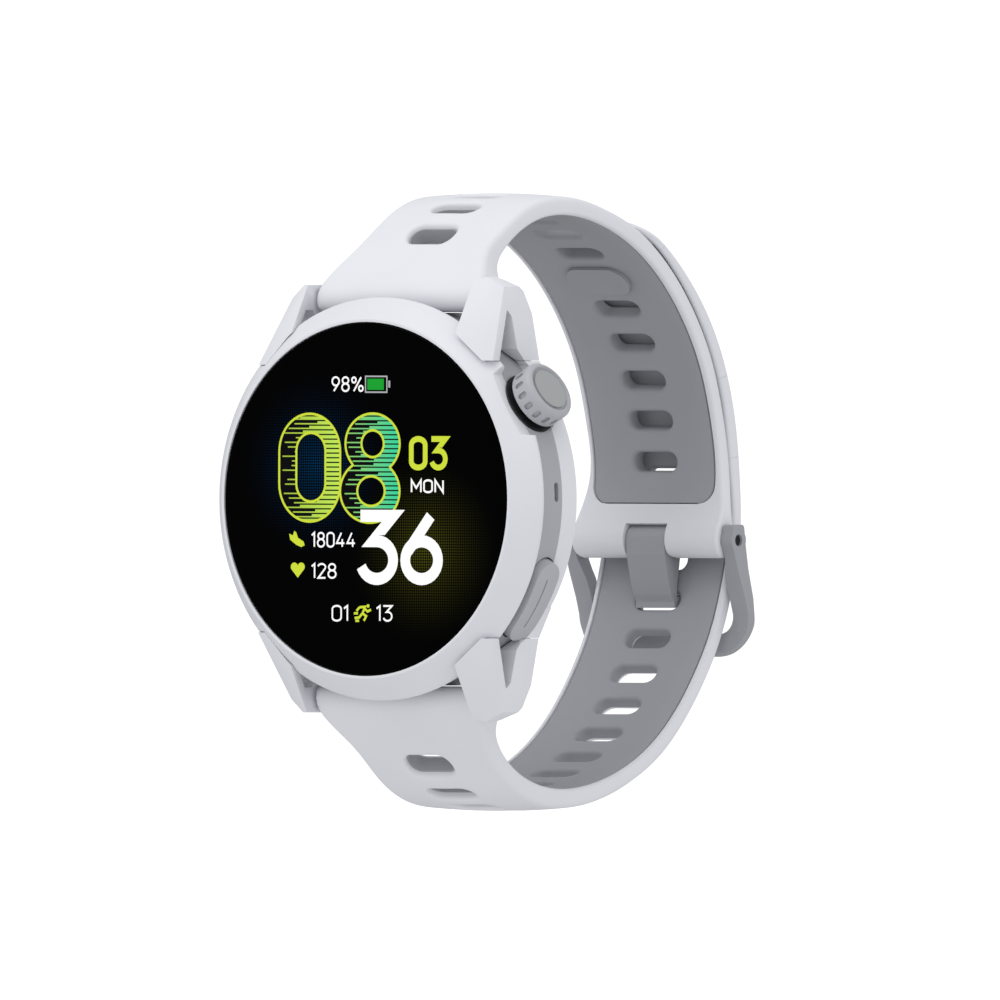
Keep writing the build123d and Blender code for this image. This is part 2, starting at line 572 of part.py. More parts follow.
def build():
    add("bezel_ring", stand(bezel_ring()))
    add("cover_glass", stand(disc(GLASS_R, 0, GLASS_THICK)))
    add("mid_case", stand(mid_case()))
    add("lug_frame", stand(lug_frame()))
    add("back_cover", stand(back_cover()))
    add("case_screws", *[stand(screw) for screw in case_screws()])
    insides()
    sensors()
    crown()
    button()
    straps()
    spring_bars()
    buckle()


build()
os.makedirs("parts", exist_ok=True)
for name, shape in NODES.items():
    export_step(shape, f"parts/{name}.step")
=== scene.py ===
"""GPS running watch: moulded strap, polymer case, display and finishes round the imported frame."""
from __future__ import annotations

import json
import logging
import math
from dataclasses import dataclass, field
from enum import Enum
from typing import Iterable

import bmesh
import bpy
import numpy as np
from mathutils import Matrix, Vector
from mathutils.geometry import tessellate_polygon

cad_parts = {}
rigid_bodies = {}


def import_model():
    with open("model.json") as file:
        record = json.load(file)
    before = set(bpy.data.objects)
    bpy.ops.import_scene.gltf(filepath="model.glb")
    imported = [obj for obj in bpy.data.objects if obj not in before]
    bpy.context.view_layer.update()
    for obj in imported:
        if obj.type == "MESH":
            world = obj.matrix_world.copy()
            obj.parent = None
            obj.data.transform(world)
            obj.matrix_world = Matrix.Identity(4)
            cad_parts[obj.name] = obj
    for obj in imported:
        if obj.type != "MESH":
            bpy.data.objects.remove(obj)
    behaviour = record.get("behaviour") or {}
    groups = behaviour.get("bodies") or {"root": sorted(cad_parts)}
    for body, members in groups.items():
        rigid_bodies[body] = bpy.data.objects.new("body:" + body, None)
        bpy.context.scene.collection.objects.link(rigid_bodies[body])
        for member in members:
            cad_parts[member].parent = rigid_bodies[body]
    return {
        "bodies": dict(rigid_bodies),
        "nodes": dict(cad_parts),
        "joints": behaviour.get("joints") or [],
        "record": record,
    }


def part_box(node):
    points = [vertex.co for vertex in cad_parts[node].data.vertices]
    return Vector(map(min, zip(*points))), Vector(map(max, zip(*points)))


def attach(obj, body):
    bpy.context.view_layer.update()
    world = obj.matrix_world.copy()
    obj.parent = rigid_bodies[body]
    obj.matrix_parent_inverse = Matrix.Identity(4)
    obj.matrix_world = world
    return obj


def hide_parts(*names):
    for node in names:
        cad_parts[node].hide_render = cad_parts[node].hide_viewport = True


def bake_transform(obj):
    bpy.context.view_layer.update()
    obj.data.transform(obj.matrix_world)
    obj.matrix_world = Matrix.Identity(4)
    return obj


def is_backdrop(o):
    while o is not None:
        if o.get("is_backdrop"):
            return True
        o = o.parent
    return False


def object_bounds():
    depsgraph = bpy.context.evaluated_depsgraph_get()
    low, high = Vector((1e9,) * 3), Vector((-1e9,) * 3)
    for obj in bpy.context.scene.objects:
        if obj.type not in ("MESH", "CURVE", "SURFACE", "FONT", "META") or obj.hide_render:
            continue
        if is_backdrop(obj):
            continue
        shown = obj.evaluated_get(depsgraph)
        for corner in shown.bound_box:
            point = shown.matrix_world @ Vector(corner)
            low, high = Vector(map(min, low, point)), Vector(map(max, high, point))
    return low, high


logging.basicConfig(level=logging.INFO, format="%(message)s")
LOG = logging.getLogger("watch")

MM = 0.001
TOTAL_DEPTH = 13.0                      # front of the glass to the sensor window
WELD = 0.002 * MM                       # points nearer than this are merged
SLIVER = 0.001 * MM                     # shorter edges are dissolved
FLAT = math.radians(1.2)                # faces turned by less than this are joined
ROLL = (0.3, 0.6, 0.9, 1.2, math.pi / 2)    # steps of a rolled edge, in radians
Point = tuple[float, float]
Colour = tuple[float, float, float]


def from_front(depth: float) -> float:
    """Give the frame's Y, in millimetres, of a depth behind the glass."""
    return depth - TOTAL_DEPTH


# ---- finishes ------------------------------------------------------------------------------
class Nodes:
    """Short calls for building one material's node tree."""

    def __init__(self, name: str) -> None:
        """Make an empty material.

        Args:
            name: The material's name.
        """
        self.material = bpy.data.materials.new(name)
        self.material.use_nodes = True
        self.tree = self.material.node_tree
        self.tree.nodes.clear()
        self.output = self.tree.nodes.new("ShaderNodeOutputMaterial")

    def add(self, kind: str, inputs: dict | None = None, **settings: object) -> bpy.types.Node:
        """Add a node.

        Args:
            kind: The node's type name without "ShaderNode".
            inputs: Values or output sockets for its inputs, by name or index.
            **settings: Properties of the node.

        Returns:
            The node.
        """
        node = self.tree.nodes.new("ShaderNode" + kind)
        for key, value in settings.items():
            setattr(node, key, value)
        for key, value in (inputs or {}).items():
            if isinstance(value, bpy.types.NodeSocket):
                self.tree.links.new(value, node.inputs[key])
            else:
                node.inputs[key].default_value = value
        return node

    def sum(self, operation: str, *values: object) -> bpy.types.NodeSocket:
        """Add a Math node and give its output.

        Args:
            operation: The Math node's operation.
            *values: Its inputs, numbers or sockets.

        Returns:
            The result's socket.
        """
        return self.add("Math", dict(enumerate(values)), operation=operation).outputs[0]

    def ramp(self, factor: bpy.types.NodeSocket, low: Colour, high: Colour) -> bpy.types.NodeSocket:
        """Blend two colours by a factor.

        Args:
            factor: Socket between 0 and 1.
            low: Colour at 0.
            high: Colour at 1.

        Returns:
            The colour's socket.
        """
        node = self.add("ValToRGB", {0: factor})
        node.color_ramp.elements[0].color = (*low, 1)
        node.color_ramp.elements[1].color = (*high, 1)
        return node.outputs[0]

    def surface(self, shader: bpy.types.Node) -> bpy.types.Material:
        """Connect the last shader and give the material."""
        self.tree.links.new(shader.outputs[0], self.output.inputs[0])
        return self.material


@dataclass(frozen=True)
class Finish:
    """Moulded or machined surface with a fine grain, slow colour drift and uneven gloss."""

    name: str
    colour: Colour
    roughness: float = 0.45
    metallic: float = 0.0
    specular: float = 0.4
    drift: float = 0.03
    grain_mm: float = 0.16
    relief: float = 0.05
    spun: bool = False                  # turning marks round the Y axis
    emission: float = 0.0
    drift_scale: float = 140.0
    spin_scale: float = 2400.0
    gloss_spread: float = 0.05
    bump_mm: float = 0.02
    lit_paint: float = 0.02             # share of its colour that a lit piece also has as paint

    def build(self) -> bpy.types.Material:
        """Build the material."""
        n = Nodes(self.name)
        place = n.add("TexCoord").outputs["Object"]
        slow = n.add("TexNoise", {"Vector": place, "Scale": self.drift_scale, "Detail": 3.0}).outputs[0]
        grain = 1 / (self.grain_mm * MM)
        fine = n.add("TexNoise", {"Vector": place, "Scale": grain, "Detail": 2.0}).outputs[0]
        if self.spun:
            fine = n.add("TexWave", {"Vector": place, "Scale": self.spin_scale, "Distortion": 1.5},
                         wave_type="RINGS", rings_direction="Y").outputs[1]
        paint = self.lit_paint if self.emission else 1.0
        low = tuple(paint * c * (1 - self.drift) for c in self.colour)
        high = tuple(min(1.0, paint * c * (1 + self.drift)) for c in self.colour)
        gloss = n.add("MapRange", {"Value": fine, 3: self.roughness - self.gloss_spread,
                                   4: self.roughness + self.gloss_spread})
        bump = n.add("Bump", {"Height": fine, "Strength": self.relief, "Distance": self.bump_mm * MM})
        shader = n.add("BsdfPrincipled", {
            "Base Color": n.ramp(slow, low, high), "Roughness": gloss.outputs[0], "Normal": bump.outputs[0],
            "Metallic": self.metallic, "Specular IOR Level": self.specular,
        })
        if self.emission:
            shader.inputs["Emission Color"].default_value = (*self.colour, 1)
            shader.inputs["Emission Strength"].default_value = self.emission
        return n.surface(shader)


@dataclass(frozen=True)
class GlassFinish:
    """Black display glass with two faint fields of lit dots under it."""

    name: str = "display_glass"
    dot_pitch: float = 0.42
    # Centre x, z and reach of each lit field, and its colour
    fields: tuple = (
        ((-6.5, 3.5, 10.5), (0.0, 0.035, 0.10, 1)),
        ((8.0, -5.5, 10.5), (0.085, 0.085, 0.008, 1)),
    )

    def build(self) -> bpy.types.Material:
        """Build the material."""
        n = Nodes(self.name)
        place = n.add("TexCoord").outputs["Object"]
        axes = n.add("SeparateXYZ", {0: place})
        x = n.sum("DIVIDE", axes.outputs[0], MM)
        z = n.sum("DIVIDE", axes.outputs[2], MM)
        turns = math.tau / self.dot_pitch / 1.4
        slants = [n.sum("ADD", x, n.sum("MULTIPLY", z, side)) for side in (1.0, -1.0)]
        waves = [n.sum("COSINE", n.sum("MULTIPLY", slant, turns)) for slant in slants]
        dots = n.sum("MULTIPLY", n.sum("ADD", n.sum("MULTIPLY", waves[0], waves[1]), 0.4), 0.8)
        dots = n.sum("MAXIMUM", dots, 0.0)
        lit = []
        for (cx, cz, reach), colour in self.fields:
            dx = n.sum("POWER", n.sum("ABSOLUTE", n.sum("SUBTRACT", x, cx)), 2.0)
            dz = n.sum("POWER", n.sum("ABSOLUTE", n.sum("SUBTRACT", z, cz)), 2.0)
            away = n.sum("DIVIDE", n.sum("SQRT", n.sum("ADD", dx, dz)), reach)
            near = n.sum("MAXIMUM", n.sum("SUBTRACT", 1.0, away), 0.0)
            level = n.sum("MULTIPLY", n.sum("MULTIPLY", near, near), dots)
            lit.append(n.add("MixRGB", {0: level, 1: (0, 0, 0, 1), 2: colour}).outputs[0])
        glow = n.add("MixRGB", {0: 1.0, 1: lit[0], 2: lit[1]}, blend_type="ADD").outputs[0]
        smear = n.add("TexNoise", {"Vector": place, "Scale": 90.0, "Detail": 3.0}).outputs[0]
        rough = n.add("MapRange", {"Value": smear, 3: 0.04, 4: 0.09}).outputs[0]
        shader = n.add("BsdfPrincipled", {
            "Base Color": (0.0006, 0.0006, 0.0008, 1), "Roughness": rough, "Specular IOR Level": 0.04,
            "Emission Color": glow, "Emission Strength": 1.0,
        })
        return n.surface(shader)


@dataclass(frozen=True)
class StripeFinish:
    """Lit speed stripes that thicken and turn from lime to green along each large digit."""

    name: str
    left: float
    right: float
    first: Colour
    last: Colour
    pitch: float = 0.5
    thin: float = 0.28                  # share of the pitch that a thin stripe fills
    thickening: float = 0.42            # what a thick one fills beyond that
    bare: float = 0.16                  # share of the figure's width without stripes

    def build(self) -> bpy.types.Material:
        """Build the material."""
        n = Nodes(self.name)
        axes = n.add("SeparateXYZ", {0: n.add("TexCoord").outputs["Object"]})
        x = n.sum("DIVIDE", axes.outputs[0], MM)
        z = n.sum("DIVIDE", axes.outputs[2], MM)
        along = n.sum("DIVIDE", n.sum("SUBTRACT", x, self.left), self.right - self.left)
        along = n.sum("MAXIMUM", n.sum("MINIMUM", along, 1.0), 0.0)
        count = n.sum("DIVIDE", z, self.pitch)
        row = n.sum("FLOOR", count)
        wobble = n.sum("MULTIPLY", n.sum("SINE", n.sum("MULTIPLY", row, 2.3)), 0.16)
        thick = n.sum("GREATER_THAN", n.sum("ADD", along, wobble), 0.5)
        duty = n.sum("ADD", n.sum("MULTIPLY", thick, self.thickening), self.thin)
        tail = n.sum("GREATER_THAN", n.sum("ADD", along, n.sum("MULTIPLY", wobble, 0.7)), self.bare)
        lit = n.sum("MULTIPLY", n.sum("LESS_THAN", n.sum("FRACT", count), duty), tail)
        colour = n.ramp(along, self.first, self.last)
        shade = n.add("MixRGB", {0: lit, 1: (0.002, 0.002, 0.003, 1), 2: colour}).outputs[0]
        shader = n.add("BsdfPrincipled", {
            "Base Color": (0.001, 0.001, 0.001, 1), "Roughness": 0.3, "Specular IOR Level": 0.1,
            "Emission Color": shade, "Emission Strength": 1.0,
        })
        return n.surface(shader)


class Palette(Enum):
    """Every finish of the watch."""

    BEZEL = Finish("bezel_polymer", (0.735, 0.74, 0.775), roughness=0.42, specular=0.35)
    CASE = Finish("case_polymer", (0.40, 0.404, 0.432), roughness=0.45, specular=0.35)
    STRAP = Finish("strap_silicone", (0.735, 0.74, 0.775), roughness=0.52, specular=0.3, grain_mm=0.22,
                   relief=0.07)
    LINER = Finish("liner_silicone", (0.34, 0.342, 0.367), roughness=0.55, specular=0.3, grain_mm=0.22,
                   relief=0.08)
    BUCKLE = Finish("buckle_polymer", (0.35, 0.354, 0.378), roughness=0.42, specular=0.4)
    CROWN = Finish("crown_polymer", (0.44, 0.442, 0.472), roughness=0.4, specular=0.4)
    CAP = Finish("crown_disc", (0.44, 0.455, 0.455), roughness=0.36, specular=0.5, metallic=0.2)
    SEAL = Finish("seal_rubber", (0.045, 0.046, 0.05), roughness=0.6)
    BACK = Finish("back_polymer", (0.60, 0.605, 0.63), roughness=0.4)
    LENS = Finish("sensor_lens", (0.006, 0.006, 0.008), roughness=0.08, specular=0.5)
    STEEL = Finish("steel", (0.55, 0.55, 0.57), roughness=0.3, metallic=1.0, grain_mm=0.08)
    DARK_STEEL = Finish("dark_steel", (0.07, 0.07, 0.075), roughness=0.4, metallic=0.8)
    GOLD = Finish("plated_contact", (0.85, 0.62, 0.28), roughness=0.25, metallic=1.0, grain_mm=0.06)
    BOARD = Finish("circuit_board", (0.02, 0.16, 0.07), roughness=0.4)
    CELL = Finish("battery_foil", (0.6, 0.61, 0.63), roughness=0.35, metallic=0.9, drift=0.08)
    COPPER = Finish("antenna_copper", (0.7, 0.4, 0.22), roughness=0.35, metallic=1.0)
    INNER = Finish("inner_frame", (0.18, 0.18, 0.2), roughness=0.5)
    DIODE = Finish("diode", (0.03, 0.03, 0.05), roughness=0.15)
    LED = Finish("led", (0.35, 0.8, 0.4), roughness=0.2)
    GLASS = GlassFinish()
    WHITE_LIGHT = Finish("lit_white", (1.0, 1.0, 1.0), drift=0.0, emission=1.0, specular=0.1)
    LIME_LIGHT = Finish("lit_lime", (0.61, 0.72, 0.045), drift=0.0, emission=1.0, specular=0.1)
    GREEN_LIGHT = Finish("lit_green", (0.01, 0.35, 0.03), drift=0.0, emission=1.0, specular=0.1)
    GREY_LIGHT = Finish("lit_grey", (0.42, 0.42, 0.45), drift=0.0, emission=1.0, specular=0.1)
    ZERO_LIGHT = StripeFinish("lit_zero", -11.6, -3.4, (0.36, 0.52, 0.05), (0.55, 0.82, 0.10))
    EIGHT_LIGHT = StripeFinish("lit_eight", -3.4, 4.6, (0.30, 0.62, 0.12), (0.03, 0.66, 0.34))

    @property
    def material(self) -> bpy.types.Material:
        """The finish's material, built once."""
        return bpy.data.materials.get(self.value.name) or self.value.build()


NODE_FINISH: dict[Palette, str] = {
    Palette.CASE: "mid_case", Palette.BACK: "back_cover",
    Palette.CAP: "crown_cap", Palette.LENS: "sensor_window", Palette.LINER: "keeper_stud",
    Palette.STEEL: "case_screws crown_stem crown_wheel vibration_motor button_bracket upper_spring_bar "
                   "upper_bar_release lower_spring_bar lower_bar_release bar_springs board_shields "
                   "pressure_sensor microphone crown_encoder",
    Palette.DARK_STEEL: "buckle_pin crown_switch button_switch crown_tube",
    Palette.GOLD: "charging_contacts", Palette.BOARD: "main_board sensor_board", Palette.CELL: "battery",
    Palette.COPPER: "gps_antenna", Palette.INNER: "inner_frame display_panel", Palette.DIODE: "photodiodes",
    Palette.LED: "sensor_leds", Palette.SEAL: "glass_gasket back_gasket crown_seals button_seals",
}


# ---- mesh tools ----------------------------------------------------------------------------
class Shape:
    """Collects vertices and faces in millimetres and turns them into one closed object."""

    def __init__(self) -> None:
        """Start empty."""
        self.points: list[tuple[float, float, float]] = []
        self.faces: list[list[int]] = []

    def face(self, *corners: Iterable[float]) -> None:
        """Add a face from its corners."""
        start = len(self.points)
        self.points.extend(tuple(corner) for corner in corners)
        self.faces.append(list(range(start, len(self.points))))

    def bridge(self, first: list, second: list, closed: bool = False) -> None:
        """Add quads between two rows of points of the same length."""
        count = len(first)
        for i in range(count if closed else count - 1):
            j = (i + 1) % count
            self.face(first[i], first[j], second[j], second[i])

    def build(self, name: str, finish: Palette, angle: float = 40.0, turn_out: bool = True,
              matrix: Matrix | None = None) -> bpy.types.Object:
        """Merge the points and make the object.

        Args:
            name: The object's name.
            finish: Its finish.
            angle: Edges sharper than this many degrees stay sharp.
            turn_out: Whether a closed shape's faces are turned outwards.
            matrix: Place of the shape, in metres.

        Returns:
            The object, at the origin.
        """
        mesh = bpy.data.meshes.new(name)
        mesh.from_pydata([(x * MM, y * MM, z * MM) for x, y, z in self.points], [], self.faces)
        work = bmesh.new()
        work.from_mesh(mesh)
        bmesh.ops.remove_doubles(work, verts=work.verts, dist=WELD)
        bmesh.ops.dissolve_degenerate(work, edges=work.edges, dist=SLIVER)
        if turn_out:
            bmesh.ops.recalc_face_normals(work, faces=work.faces)
        work.to_mesh(mesh)
        work.free()
        if matrix:
            mesh.transform(matrix)
        return finished(name, mesh, finish, angle)


def finished(name: str, mesh: bpy.types.Mesh, finish: Palette, angle: float = 40.0) -> bpy.types.Object:
    """Link a mesh as an object with a finish and smooth shading.

    Args:
        name: The object's name.
        mesh: Its mesh, in the frame's place.
        finish: Its finish.
        angle: Edges sharper than this many degrees stay sharp.

    Returns:
        The object.
    """
    mesh.materials.clear()
    mesh.materials.append(finish.material)
    mesh.shade_smooth()
    mesh.set_sharp_from_angle(angle=math.radians(angle))
    piece = bpy.data.objects.new(name, mesh)
    bpy.context.scene.collection.objects.link(piece)
    return piece


def plain_mesh(piece: bpy.types.Object) -> bpy.types.Mesh:
    """Apply an object's modifiers and remove it.

    Args:
        piece: The object with live modifiers.

    Returns:
        Its evaluated mesh.
    """
    bpy.context.view_layer.update()
    graph = bpy.context.evaluated_depsgraph_get()
    mesh = bpy.data.meshes.new_from_object(piece.evaluated_get(graph), depsgraph=graph)
    bpy.data.objects.remove(piece)
    return mesh


def join(piece: bpy.types.Object, slot: str, body: str, *nodes: str) -> None:
    """Hide the CAD nodes that a piece stands for and attach it to the body that it rides on.

    Args:
        piece: The piece.
        slot: The record's material slot; not used.
        body: The body that it rides on, or "" where it is attached to none.
        *nodes: The CAD nodes that it replaces.
    """
    if nodes:
        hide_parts(*nodes)
    if body:
        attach(piece, body)


def bevelled(frame: dict, node: str, name: str, finish: Palette, width: float, body: str = "watch",
             slot: str = "bezel", segments: int = 3, angle: float = 28.0) -> bpy.types.Object:
    """Copy a CAD node with rolled edges and let it stand for the node.

    Args:
        frame: The loaded frame.
        node: The CAD node.
        name: The new piece's name.
        finish: Its finish.
        width: Width of the rolled edges, in millimetres.
        body: The body that it rides on.
        slot: The record's material slot.
        segments: Steps in each rolled edge.
        angle: Edges sharper than this many degrees are rolled.

    Returns:
        The piece.
    """
    mesh = frame["nodes"][node].data.copy()
    work = bmesh.new()
    work.from_mesh(mesh)
    bmesh.ops.remove_doubles(work, verts=work.verts, dist=WELD)
    bmesh.ops.dissolve_limit(work, angle_limit=FLAT, verts=work.verts, edges=work.edges)
    work.to_mesh(mesh)
    work.free()
    copy = bpy.data.objects.new(name + "_blank", mesh)
    bpy.context.scene.collection.objects.link(copy)
    roll = copy.modifiers.new("edges", "BEVEL")
    roll.width, roll.segments, roll.limit_method = width * MM, segments, "ANGLE"
    roll.angle_limit = math.radians(angle)
    roll.harden_normals = False
    piece = finished(name, plain_mesh(copy), finish, 35.0)
    join(piece, slot, body, node)
    LOG.info("%s: rolled edges %.2f mm", name, width)
    return piece


class Tree:
    """Geometry Nodes tree with named inputs that is applied to a mesh at once."""

    def __init__(self, name: str, **sizes: float) -> None:
        """Start a tree.

        Args:
            name: The tree's name.
            **sizes: Named inputs with their values, in metres or counts.
        """
        self.tree = bpy.data.node_groups.new(name, "GeometryNodeTree")
        face = self.tree.interface
        face.new_socket("Geometry", in_out="INPUT", socket_type="NodeSocketGeometry")
        face.new_socket("Geometry", in_out="OUTPUT", socket_type="NodeSocketGeometry")
        self.values = {}
        for key, value in sizes.items():
            kind = "NodeSocketInt" if isinstance(value, int) else "NodeSocketFloat"
            socket = face.new_socket(key, in_out="INPUT", socket_type=kind)
            self.values[socket.identifier] = value
        self.start = self.tree.nodes.new("NodeGroupInput")
        self.end = self.tree.nodes.new("NodeGroupOutput")

    def size(self, name: str) -> bpy.types.NodeSocket:
        """The socket of a named input."""
        return self.start.outputs[name]

    def add(self, kind: str, inputs: dict | None = None, **settings: object) -> bpy.types.Node:
        """Add a node.

        Args:
            kind: Its full type name.
            inputs: Values or output sockets for its inputs, by name or index.
            **settings: Properties of the node.

        Returns:
            The node.
        """
        node = self.tree.nodes.new(kind)
        for key, value in settings.items():
            setattr(node, key, value)
        for key, value in (inputs or {}).items():
            for one in value if isinstance(value, list) else [value]:
                if isinstance(one, bpy.types.NodeSocket):
                    self.tree.links.new(one, node.inputs[key])
                else:
                    node.inputs[key].default_value = one
        return node

    def sum(self, operation: str, *values: object) -> bpy.types.NodeSocket:
        """Add a Math node and give its output."""
        return self.add("ShaderNodeMath", dict(enumerate(values)), operation=operation).outputs[0]

    def vector(self, x: object = 0.0, y: object = 0.0, z: object = 0.0) -> bpy.types.NodeSocket:
        """Join three numbers or sockets to a vector."""
        return self.add("ShaderNodeCombineXYZ", {0: x, 1: y, 2: z}).outputs[0]

    def mesh(self, geometry: bpy.types.NodeSocket, source: bpy.types.Mesh, finish: Palette) -> bpy.types.Mesh:
        """Close the tree, run it on a mesh and give the plain result.

        Args:
            geometry: The tree's last geometry.
            source: The mesh that goes in.
            finish: The finish that it sets.

        Returns:
            The resulting mesh.
        """
        real = self.add("GeometryNodeRealizeInstances", {0: geometry}).outputs[0]
        dress = self.add("GeometryNodeSetMaterial", {0: real, "Material": finish.material}).outputs[0]
        self.tree.links.new(dress, self.end.inputs[0])
        piece = bpy.data.objects.new(self.tree.name, source)
        bpy.context.scene.collection.objects.link(piece)
        modifier = piece.modifiers.new("build", "NODES")
        modifier.node_group = self.tree
        for identifier, value in self.values.items():
            modifier[identifier] = value
        return plain_mesh(piece)


def lathe(profile: list[Point], steps: int, close: bool = True) -> Shape:
    """Turn a profile round Z.

    Args:
        profile: (radius, height) points.
        steps: Number of steps round the axis.
        close: Whether the ends are closed with flat faces.

    Returns:
        The shape.
    """
    shape = Shape()
    turns = [math.tau * i / steps for i in range(steps)]
    rings = [[(r * math.cos(a), r * math.sin(a), h) for a in turns] for r, h in profile]
    for first, second in zip(rings, rings[1:]):
        shape.bridge(first, second, closed=True)
    if close:
        shape.face(*rings[0])
        shape.face(*rings[-1])
    return shape


def arc(cx: float, cy: float, rx: float, ry: float, first: float, last: float,
        steps: int = 14) -> list[Point]:
    """Points of an elliptic arc between two angles in degrees, ends included."""
    angles = [math.radians(first + (last - first) * i / steps) for i in range(steps + 1)]
    return [(cx + rx * math.cos(a), cy + ry * math.sin(a)) for a in angles]


# ---- strap -----------------------------------------------------------------------------------
class Guide:
    """Smooth curve along a strap: inner and outer depth and height, half width and crown."""

    def __init__(self, rows: list[tuple[float, ...]]) -> None:
        """Fit a natural cubic through the rows.

        Args:
            rows: (inner depth, inner height, outer depth, outer height, half width, crown).
        """
        self.values = np.array(rows, dtype=float)
        steps = np.linalg.norm(np.diff(self.values[:, :2], axis=0), axis=1)
        self.knots = np.concatenate([[0.0], np.cumsum(steps)])
        self.bends = self._bends()
        self.fine = np.linspace(0.0, self.knots[-1], 3000)
        line = np.array([self._at(t)[:2] for t in self.fine])
        self.line = line
        self.lengths = np.concatenate([[0.0], np.cumsum(np.linalg.norm(np.diff(line, axis=0), axis=1))])
        self.length = float(self.lengths[-1])
        self.cache: dict[float, np.ndarray] = {}

    def _bends(self) -> np.ndarray:
        """Second derivatives at the knots."""
        gaps, values = np.diff(self.knots), self.values
        count = len(self.knots)
        matrix, right = np.zeros((count, count)), np.zeros_like(values)
        matrix[0, 0] = matrix[-1, -1] = 1.0
        for i in range(1, count - 1):
            matrix[i, i - 1 : i + 2] = gaps[i - 1], 2 * (gaps[i - 1] + gaps[i]), gaps[i]
            slopes = (values[i + 1] - values[i]) / gaps[i] - (values[i] - values[i - 1]) / gaps[i - 1]
            right[i] = 6 * slopes
        return np.linalg.solve(matrix, right)

    def _at(self, t: float) -> np.ndarray:
        """Value at a knot distance."""
        i = int(min(max(np.searchsorted(self.knots, t) - 1, 0), len(self.knots) - 2))
        gap = self.knots[i + 1] - self.knots[i]
        a, b = (self.knots[i + 1] - t) / gap, (t - self.knots[i]) / gap
        bend = ((a**3 - a) * self.bends[i] + (b**3 - b) * self.bends[i + 1]) * gap * gap / 6
        return a * self.values[i] + b * self.values[i + 1] + bend

    def at(self, s: float) -> np.ndarray:
        """Value at an arc length of the inner curve."""
        key = round(s, 5)
        if key not in self.cache:
            self.cache[key] = self._at(float(np.interp(s, self.lengths, self.fine)))
        return self.cache[key]

    def nearest(self, depth: float, z: float) -> float:
        """Arc length of the inner curve's point nearest to a place."""
        gaps = np.hypot(self.line[:, 0] - depth, self.line[:, 1] - z)
        return float(self.lengths[int(np.argmin(gaps))])


def shifted(points: list[tuple[float, ...]], amounts: list[float], sign: float) -> list[Point]:
    """Move points square to their curve, away from the wrist.

    Args:
        points: (depth, height, ...) points.
        amounts: Distance for each point.
        sign: 1 for the upper half, -1 for the lower.

    Returns:
        The moved (depth, height) points.
    """
    moved = []
    for index, point in enumerate(points):
        before, after = points[max(index - 1, 0)], points[min(index + 1, len(points) - 1)]
        dx, dy = after[0] - before[0], after[1] - before[1]
        scale = sign * amounts[index] / math.hypot(dx, dy)
        moved.append((point[0] - dy * scale, point[1] + dx * scale))
    return moved


@dataclass
class Slots:
    """Round-ended slots that pierce the strap, and the mesh cell round each of them."""

    half_length: float = 2.85
    half_height: float = 1.0
    half_cell: float = 2.19
    half_block: float = 3.9
    rows: int = 8
    columns: tuple[float, ...] = (-1.0, -0.78, -0.53, -0.26, 0.0, 0.26, 0.53, 0.78, 1.0)

    def rectangle(self, centre: float) -> list[Point]:
        """(length, x) points round the cell."""
        lows = [centre - self.half_cell + 2 * self.half_cell * i / self.rows for i in range(self.rows + 1)]
        xs = [self.half_block * c for c in self.columns]
        return ([(lows[0], x) for x in xs[:-1]] + [(s, xs[-1]) for s in lows[:-1]]
                + [(lows[-1], x) for x in reversed(xs[1:])] + [(s, xs[0]) for s in reversed(lows[1:])])

    def pill(self, centre: float, grow: float) -> list[Point]:
        """(length, x) points round the slot, grown outwards, in the same order."""
        radius = self.half_height + grow
        middle = self.half_length - self.half_height
        points = []
        top = [-135.0, -112.5, None, None, None, None, None, -67.5]
        flat = [0, 0, -middle, -middle / 2, 0, middle / 2, middle]
        for i in range(self.rows):
            if top[i] is None:
                points.append((-radius, flat[i]))
            else:
                a = math.radians(top[i])
                side = -middle if i < 2 else middle
                points.append((radius * math.sin(a), side + radius * math.cos(a)))
        for i in range(self.rows):
            a = math.radians(-45 + 90 * i / self.rows)
            points.append((radius * math.sin(a), middle + radius * math.cos(a)))
        points += [(-s, -x) for s, x in points]
        return [(centre + s, x) for s, x in points]


